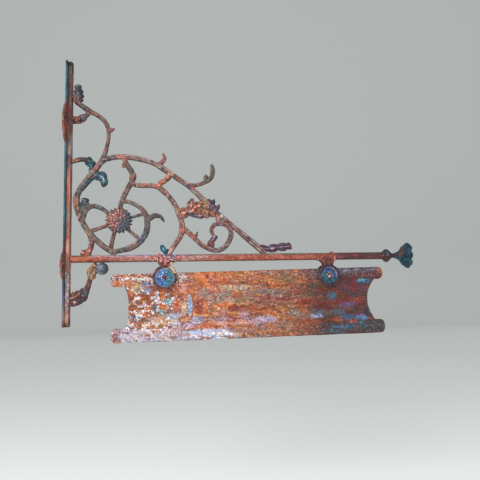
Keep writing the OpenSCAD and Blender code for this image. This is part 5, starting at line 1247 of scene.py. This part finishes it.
def board_paint(L, seed, side):
    """The board's worn coats: rust below, orange, grey-beige, lilac and blue above it, drips at the left, waves
    across the middle and dark maroon with blue at the right, darkened there partly as painted shade. L is the place on
    the flat board, rolls included."""
    x, z = L[:, 0], L[:, 2]
    Q3 = np.stack([x, 40 * side + 0 * x, z], 1)
    wave = Q3 + np.stack([0 * x, 0 * x, 7 * fbm(Q3, (70, 50, 40), seed, 3)], 1)
    a = fbm(wave, (54, 9, 9), seed + 1, 4)
    b = fbm(wave, (19, 9, 5), seed + 2, 4)
    c = fbm(Q3, (7, 9, 4), seed + 3, 3)
    d = fbm(Q3, (2.9, 9, 2.4), seed + 4, 2)
    e = fbm(wave, (12, 9, 3.2), seed + 12, 3)
    big = fbm(Q3, (46, 9, 30), seed + 5, 3)
    right = step(95, 215, x + 34 * a)
    left = step(-150, -235, x + 25 * big)
    pale_low = step(-62, -74, z + 5 * a) * step(-80, -130, x - 110 + 60 * a) * (1 - right)
    col = lerp(np.broadcast_to(LIN["rust"], (len(x), 3)), LIN["clay"][None, :], step(-0.25, 0.3, b))
    col = lerp(col, LIN["ochre"][None, :], 0.62 * step(0.05, 0.4, a))
    col = lerp(col, LIN["taupe"][None, :], 0.7 * step(0.05, 0.4, -a))
    col = lerp(col, LIN["olive"][None, :], 0.55 * step(0.1, 0.45, fbm(wave, (40, 9, 8), seed + 13, 3)) * (1 - left))
    col = lerp(col, LIN["orange"][None, :], 0.7 * step(0.12, 0.45, fbm(wave, (34, 9, 7), seed + 6, 3)))
    col = lerp(col, LIN["brick"][None, :], 0.75 * step(0.12, 0.42, -e))
    grey = np.exp(-((z - 22 + 8 * a) / 17) ** 2) * step(-150, -110, x) * step(170, 90, x)
    col = lerp(col, LIN["grey"][None, :] * 1.15, 0.65 * grey * step(-0.3, 0.3, b + 0.3 * c))
    lil = np.exp(-((z + 46 + 9 * a) / 17) ** 2) * step(-120, -60, x) * step(170, 90, x)
    col = lerp(col, lerp(np.broadcast_to(LIN["dusty"], col.shape), LIN["lilac"][None, :], step(-0.1, 0.5, big)), 0.6 * lil * step(-0.35, 0.3, b + 0.4 * c))
    pale = lerp(np.broadcast_to(LIN["dusty"], col.shape), LIN["pale_blue"][None, :], step(-0.25, 0.2, e + 0.3 * b))
    col = lerp(col, pale, 0.8 * pale_low * step(-0.5, 0.1, b))
    dark = lerp(np.broadcast_to(LIN["maroon"], col.shape), LIN["umber"][None, :], step(-0.2, 0.3, b))
    dark = lerp(dark, LIN["brown"][None, :], 0.6 * step(0.05, 0.4, e))
    dark = lerp(dark, LIN["plum"][None, :], 0.6 * step(0.0, 0.5, big))
    dark = lerp(dark, LIN["petrol"][None, :], 0.55 * step(0.15, 0.5, fbm(Q3, (22, 9, 12), seed + 7, 3)))
    dark = lerp(dark, LIN["red"][None, :], 0.5 * step(0.15, 0.5, fbm(wave, (26, 9, 7), seed + 14, 3)))
    # The right part in its dark coats, darkened further: partly the coats' own colour, partly painted shade.
    col = lerp(col, dark * 0.8, 0.93 * right)
    # the left part: pale flakes over orange
    fl = fbm(Q3, (11, 9, 7), seed + 8, 4)
    flake = step(-0.02, 0.16, fl + 0.3 * d + 0.25 * step(-10, -50, z) - 0.10)
    tint = lerp(np.broadcast_to(LIN["white"], col.shape), LIN["pale_blue"][None, :], step(-0.3, 0.2, fbm(Q3, (12, 9, 9), seed + 9, 2)))
    tint = lerp(tint, LIN["lilac"][None, :], 0.8 * step(0.1, 0.5, fbm(Q3, (10, 9, 6), seed + 10, 2)))
    tint = lerp(tint, LIN["sky"][None, :], 0.7 * step(0.2, 0.5, c))
    tint = lerp(tint, LIN["taupe"][None, :], 0.6 * step(0.1, 0.4, -c))
    col = lerp(col, tint, 0.70 * left * flake)
    for px, pz, rx, rz, name, s in board_marks(MARKS):
        near = (np.abs(x - px) < 1.7 * rx) & (np.abs(z - pz) < 1.7 * rz)
        if not near.any():
            continue
        q = np.hypot((x[near] - px) / rx, (z[near] - pz) / rz) + 0.5 * b[near] + 0.45 * c[near]
        col[near] = lerp(col[near], LIN[name][None, :], s * (1 - step(0.6, 1.1, q)) * step(-0.6, 0.0, d[near] + 0.35))
    edge = np.clip(np.exp(-((fl - 0.05) / 0.05) ** 2), 0, 1) * left
    col = lerp(col, LIN["umber"][None, :], 0.5 * edge)
    col = lerp(col, LIN["white"][None, :], 0.85 * step(0.34, 0.6, d) * (0.9 * left + 0.4 * pale_low + 0.22 * (1 - right)) * step(-0.3, 0.2, fl))
    col = lerp(col, LIN["umber"][None, :], 0.75 * step(0.40, 0.75, -d) * (0.5 + 0.5 * right))
    col = col * (1 + 0.30 * step(-205, -150, x) * step(-20, -75, x))[:, None]
    col = col * lerp(np.ones((1, 3)), np.array([[1.0, 0.92, 0.86]]), 0.9 * left)
    col = col * (1 - 0.16 * left * step(58, 66, np.abs(z)))[:, None]
    relief = 0.5 * flake * left + 0.28 * step(-0.1, 0.25, a) + 0.25 * step(0.05, 0.3, b) + 0.16 * c + 0.10 * d
    return np.clip(col * np.clip(1 + 0.30 * d + 0.24 * c + 0.18 * e, 0.3, 2)[:, None], 0, 1), relief


def board():
    nx, nz = 500, 92
    v = np.linspace(-59, 59, nz)
    s = v / 60
    lft, rgt = -337 + 15 * (1 - np.abs(s) ** 4), 347 - 24 * (1 - s * s)
    u = np.linspace(0, 1, nx)
    X = lft[None, :] + u[:, None] * (rgt - lft)[None, :]
    Z = np.broadcast_to(v, X.shape)
    P = Parts()
    L = np.stack([X.ravel(), 0 * X.ravel(), Z.ravel()], 1)
    rag = 0.7 * fbm(L, (5, 5, 5), 191, 3).reshape(X.shape)
    endw = (np.exp(-(u * 684 / 3.0)) - np.exp(-((1 - u) * 684 / 3.0)))[:, None]
    Xr = X + rag * endw * 1.5
    rim = np.broadcast_to(np.minimum(1, np.minimum(u, 1 - u)[:, None] * 684 / 2.4) ** 0.5, X.shape)
    sheets = []
    for side in (-1, 1):
        L = np.stack([Xr.ravel(), 0 * X.ravel(), Z.ravel()], 1)
        col, rel = board_paint(L, 201, side)
        warp = 0.5 * fbm(L, (120, 40, 60), 193, 2)
        cove = 4.9 * step(30, 58, np.abs(L[:, 2])) ** 1.3
        y = side * ((2.25 + rel - 0.35 + cove) * (0.35 + 0.65 * rim.ravel())) + warp * (1 - step(30, 58, np.abs(L[:, 2])))
        V = np.stack([Xr.ravel(), y, Z.ravel()], 1)
        sheets.append((V, col, np.clip(0.35 + 0.75 * rel, 0, 1)))
    n = nx * nz
    Q = [grid_quads(nx, nz, flip=True), grid_quads(nx, nz, start=n, flip=False)]
    rimloop = np.concatenate([np.arange(nx) * nz, (nx - 1) * nz + np.arange(1, nz), (np.arange(nx - 2, -1, -1)) * nz + nz - 1, np.arange(nz - 2, 0, -1)])
    nxt = np.roll(rimloop, -1)
    Q.append(np.stack([rimloop, nxt, nxt + n, rimloop + n], 1)[:, ::-1])
    V = on_board(np.concatenate([sheets[0][0], sheets[1][0]]))
    make("sign_board_worn", V, np.concatenate(Q), [], np.concatenate([sheets[0][1], sheets[1][1]]), np.concatenate([sheets[0][2], sheets[1][2]]),
         ["sign_board"], "sign", MAT["board_paint"])


board()


def roll(node, v0, h, seed, top):
    r, half, nx, K = 10.0, 368.0, 460, 60
    e = np.concatenate([np.linspace(0, 9, 12)[:-1] ** 1.0, np.linspace(9, 727, nx), 736 - np.linspace(9, 0, 12)[1:]])
    x = e - half
    d = np.minimum(e, 736 - e)
    cut = np.where(d < 13, 13 - np.sqrt(np.clip(169 - (13 - d) ** 2, 0, None)), 0)
    hh = np.maximum(h / 2 - cut, 0.5)
    th = np.where(d < 7, r - (7 - np.sqrt(np.clip(49 - (7 - d) ** 2, 0, None))), r)
    th = np.maximum(th, 0.6)
    a = 2 * math.pi * np.arange(K) / K
    straight = np.maximum(hh - r, 0.0)
    rad = np.minimum(hh, r)
    sa, ca = np.sin(a)[None, :], np.cos(a)[None, :]
    per = np.sign(sa) * np.abs(sa) ** 0.9
    Z = rad[:, None] * sa + straight[:, None] * np.clip(sa * 1.9, -1, 1)
    Y = th[:, None] * ca * (1 + 0 * per)
    X = np.broadcast_to(x[:, None], Y.shape)
    L = np.stack([X.ravel(), Y.ravel(), Z.ravel() + v0], 1)
    q = np.stack([L[:, 0], L[:, 1], L[:, 2]], 1)
    n1 = fbm(q, (55, 7, 5), seed, 4)
    n2 = fbm(q, (14, 4, 3.4), seed + 1, 3)
    n3 = fbm(q, (3, 3, 2.4), seed + 2, 2)
    dd = np.repeat(d, K)
    rings = np.zeros(len(q))
    for c, w, k in [(11, 1.3, .9), (17, 1.1, .75), (23.5, 1.0, .6)] if not top else [(12, 1.1, .5), (19, 1.0, .4)]:
        rings += k * np.exp(-((dd - c + 0.6 * n2) / w) ** 2) * (q[:, 0] > 0 if top else 1)
    groove = 0.5 * step(0.1, 0.35, -n1) + 0.3 * step(0.2, 0.5, -n2)
    dist = (0.15 * n3 - groove - rings) * np.clip(dd / 3, 0.15, 1)
    ny, nz = np.tile(ca.ravel(), len(x)), np.tile(sa.ravel(), len(x))
    V = L + np.stack([0 * dist, dist * ny, dist * nz], 1)
    X0 = L[:, 0]
    left = step(-150, -230, X0 + 20 * n1)
    right = step(120, 220, X0 + 34 * n1)
    col = np.where((ny < 0)[:, None], board_paint(L, 201, -1)[0], board_paint(L, 201, 1)[0])
    far = step(0.55, 0.1, np.abs(ny))
    col = lerp(col, LIN["taupe"][None, :], 0.4 * far * step(-0.3, 0.3, n2))
    if top:
        # The right part: slate and lilac on the upper side as painted highlight, maroon on the lower side as painted
        # shade, over the dark coats.
        dark = lerp(np.broadcast_to(LIN["slate"], V.shape), LIN["lilac"][None, :], 0.5 * step(-0.1, 0.5, n2))
        dark = lerp(dark, LIN["maroon"][None, :], 0.9 * step(0.35, -0.15, nz + 0.3 * n1))
        col = lerp(col, dark * 0.75, 0.7 * right)
        tip = 1 - step(8, 20, 368 - X0)
        # The right tip: orange above, and red on its lower side as painted shade.
        col = lerp(col, LIN["orange"][None, :], 0.85 * tip * step(-0.1, 0.3, nz + 0.3 * n2) * step(0.95, 0.6, nz))
        col = lerp(col, LIN["red"][None, :], 0.8 * tip * step(0.1, -0.3, nz))
        line = np.exp(-((L[:, 2] - v0 - 4) / 4.0) ** 2) * step(-160, -200, X0) * step(-366, -340, X0)
        col = lerp(col, LIN["white"][None, :], 0.8 * np.clip(line * 1.3, 0, 1) * step(-0.1, 0.3, n3 + 0.5 * n2))
        plain = step(-290, -330, X0) * step(4, -4, L[:, 2] - v0)
        col = lerp(col, LIN["orange"][None, :], 0.6 * plain)
    else:
        fl = step(-0.25, 0.2, fbm(q, (24, 5, 4), seed + 4, 3) + 0.3 * n3)
        pale = lerp(np.broadcast_to(LIN["white"], V.shape), LIN["lilac"][None, :], step(-0.3, 0.3, n2))
        pale = lerp(pale, LIN["pale_blue"][None, :], 0.85 * step(0.1, 0.5, n1))
        pale = lerp(pale, LIN["pink"][None, :], 0.7 * step(0.2, 0.5, -n2))
        col = lerp(col, pale, 0.75 * left * fl * step(6, 14, dd))
        col = lerp(col, lerp(np.broadcast_to(LIN["umber"], V.shape), LIN["petrol"][None, :], step(-0.2, 0.3, n2)), 0.6 * right)
        tip = 1 - step(16, 30, 368 - X0)
        tc = bands(368 - X0, [(0, "teal"), (4, "moss"), (8, "petrol"), (12, "maroon"), (16, "moss"), (20, "umber"), (24, "plum"), (30, "umber")])
        col = lerp(col, tc * (0.8 + 0.4 * n2)[:, None], 0.9 * tip)
        lt = 1 - step(16, 34, X0 + 368)
        col = lerp(col, LIN["brick"][None, :], 0.7 * lt * step(-0.3, 0.3, n1))
        col = lerp(col, LIN["orange"][None, :], 0.7 * lt * step(-0.3, -0.7, nz))
    # Painted shade in the grooves and rings.
    col = lerp(col, LIN["umber"][None, :], np.clip(0.22 * groove + 0.6 * rings, 0, 1))
    col = lerp(col, LIN["white"][None, :], 0.5 * step(0.5, 0.75, n3) * (0.3 + 0.7 * left))
    col = np.clip(col * (1 + 0.16 * n3)[:, None], 0, 1)
    crest = np.clip(0.75 - 0.6 * groove - 0.7 * rings + 0.2 * n3, 0, 1)
    V = on_board(V)
    m = len(x)
    Q = grid_quads(m, K, True)
    V = np.concatenate([V, [V[:K].mean(0)], [V[-K:].mean(0)]])
    k = np.arange(K)
    k2 = (k + 1) % K
    T = np.concatenate([np.stack([k2, k, np.full(K, m * K)], 1), np.stack([(m - 1) * K + k, (m - 1) * K + k2, np.full(K, m * K + 1)], 1)])
    col = np.concatenate([col, [col[0]], [col[-1]]])
    crest = np.concatenate([crest, [0.6, 0.6]])
    make(node + "_worn", V, Q, T, col, crest, [node], "sign", MAT["roll_paint"])


roll("top_roll", 72, 34, 301, True)
roll("bottom_roll", -72, 38, 321, False)
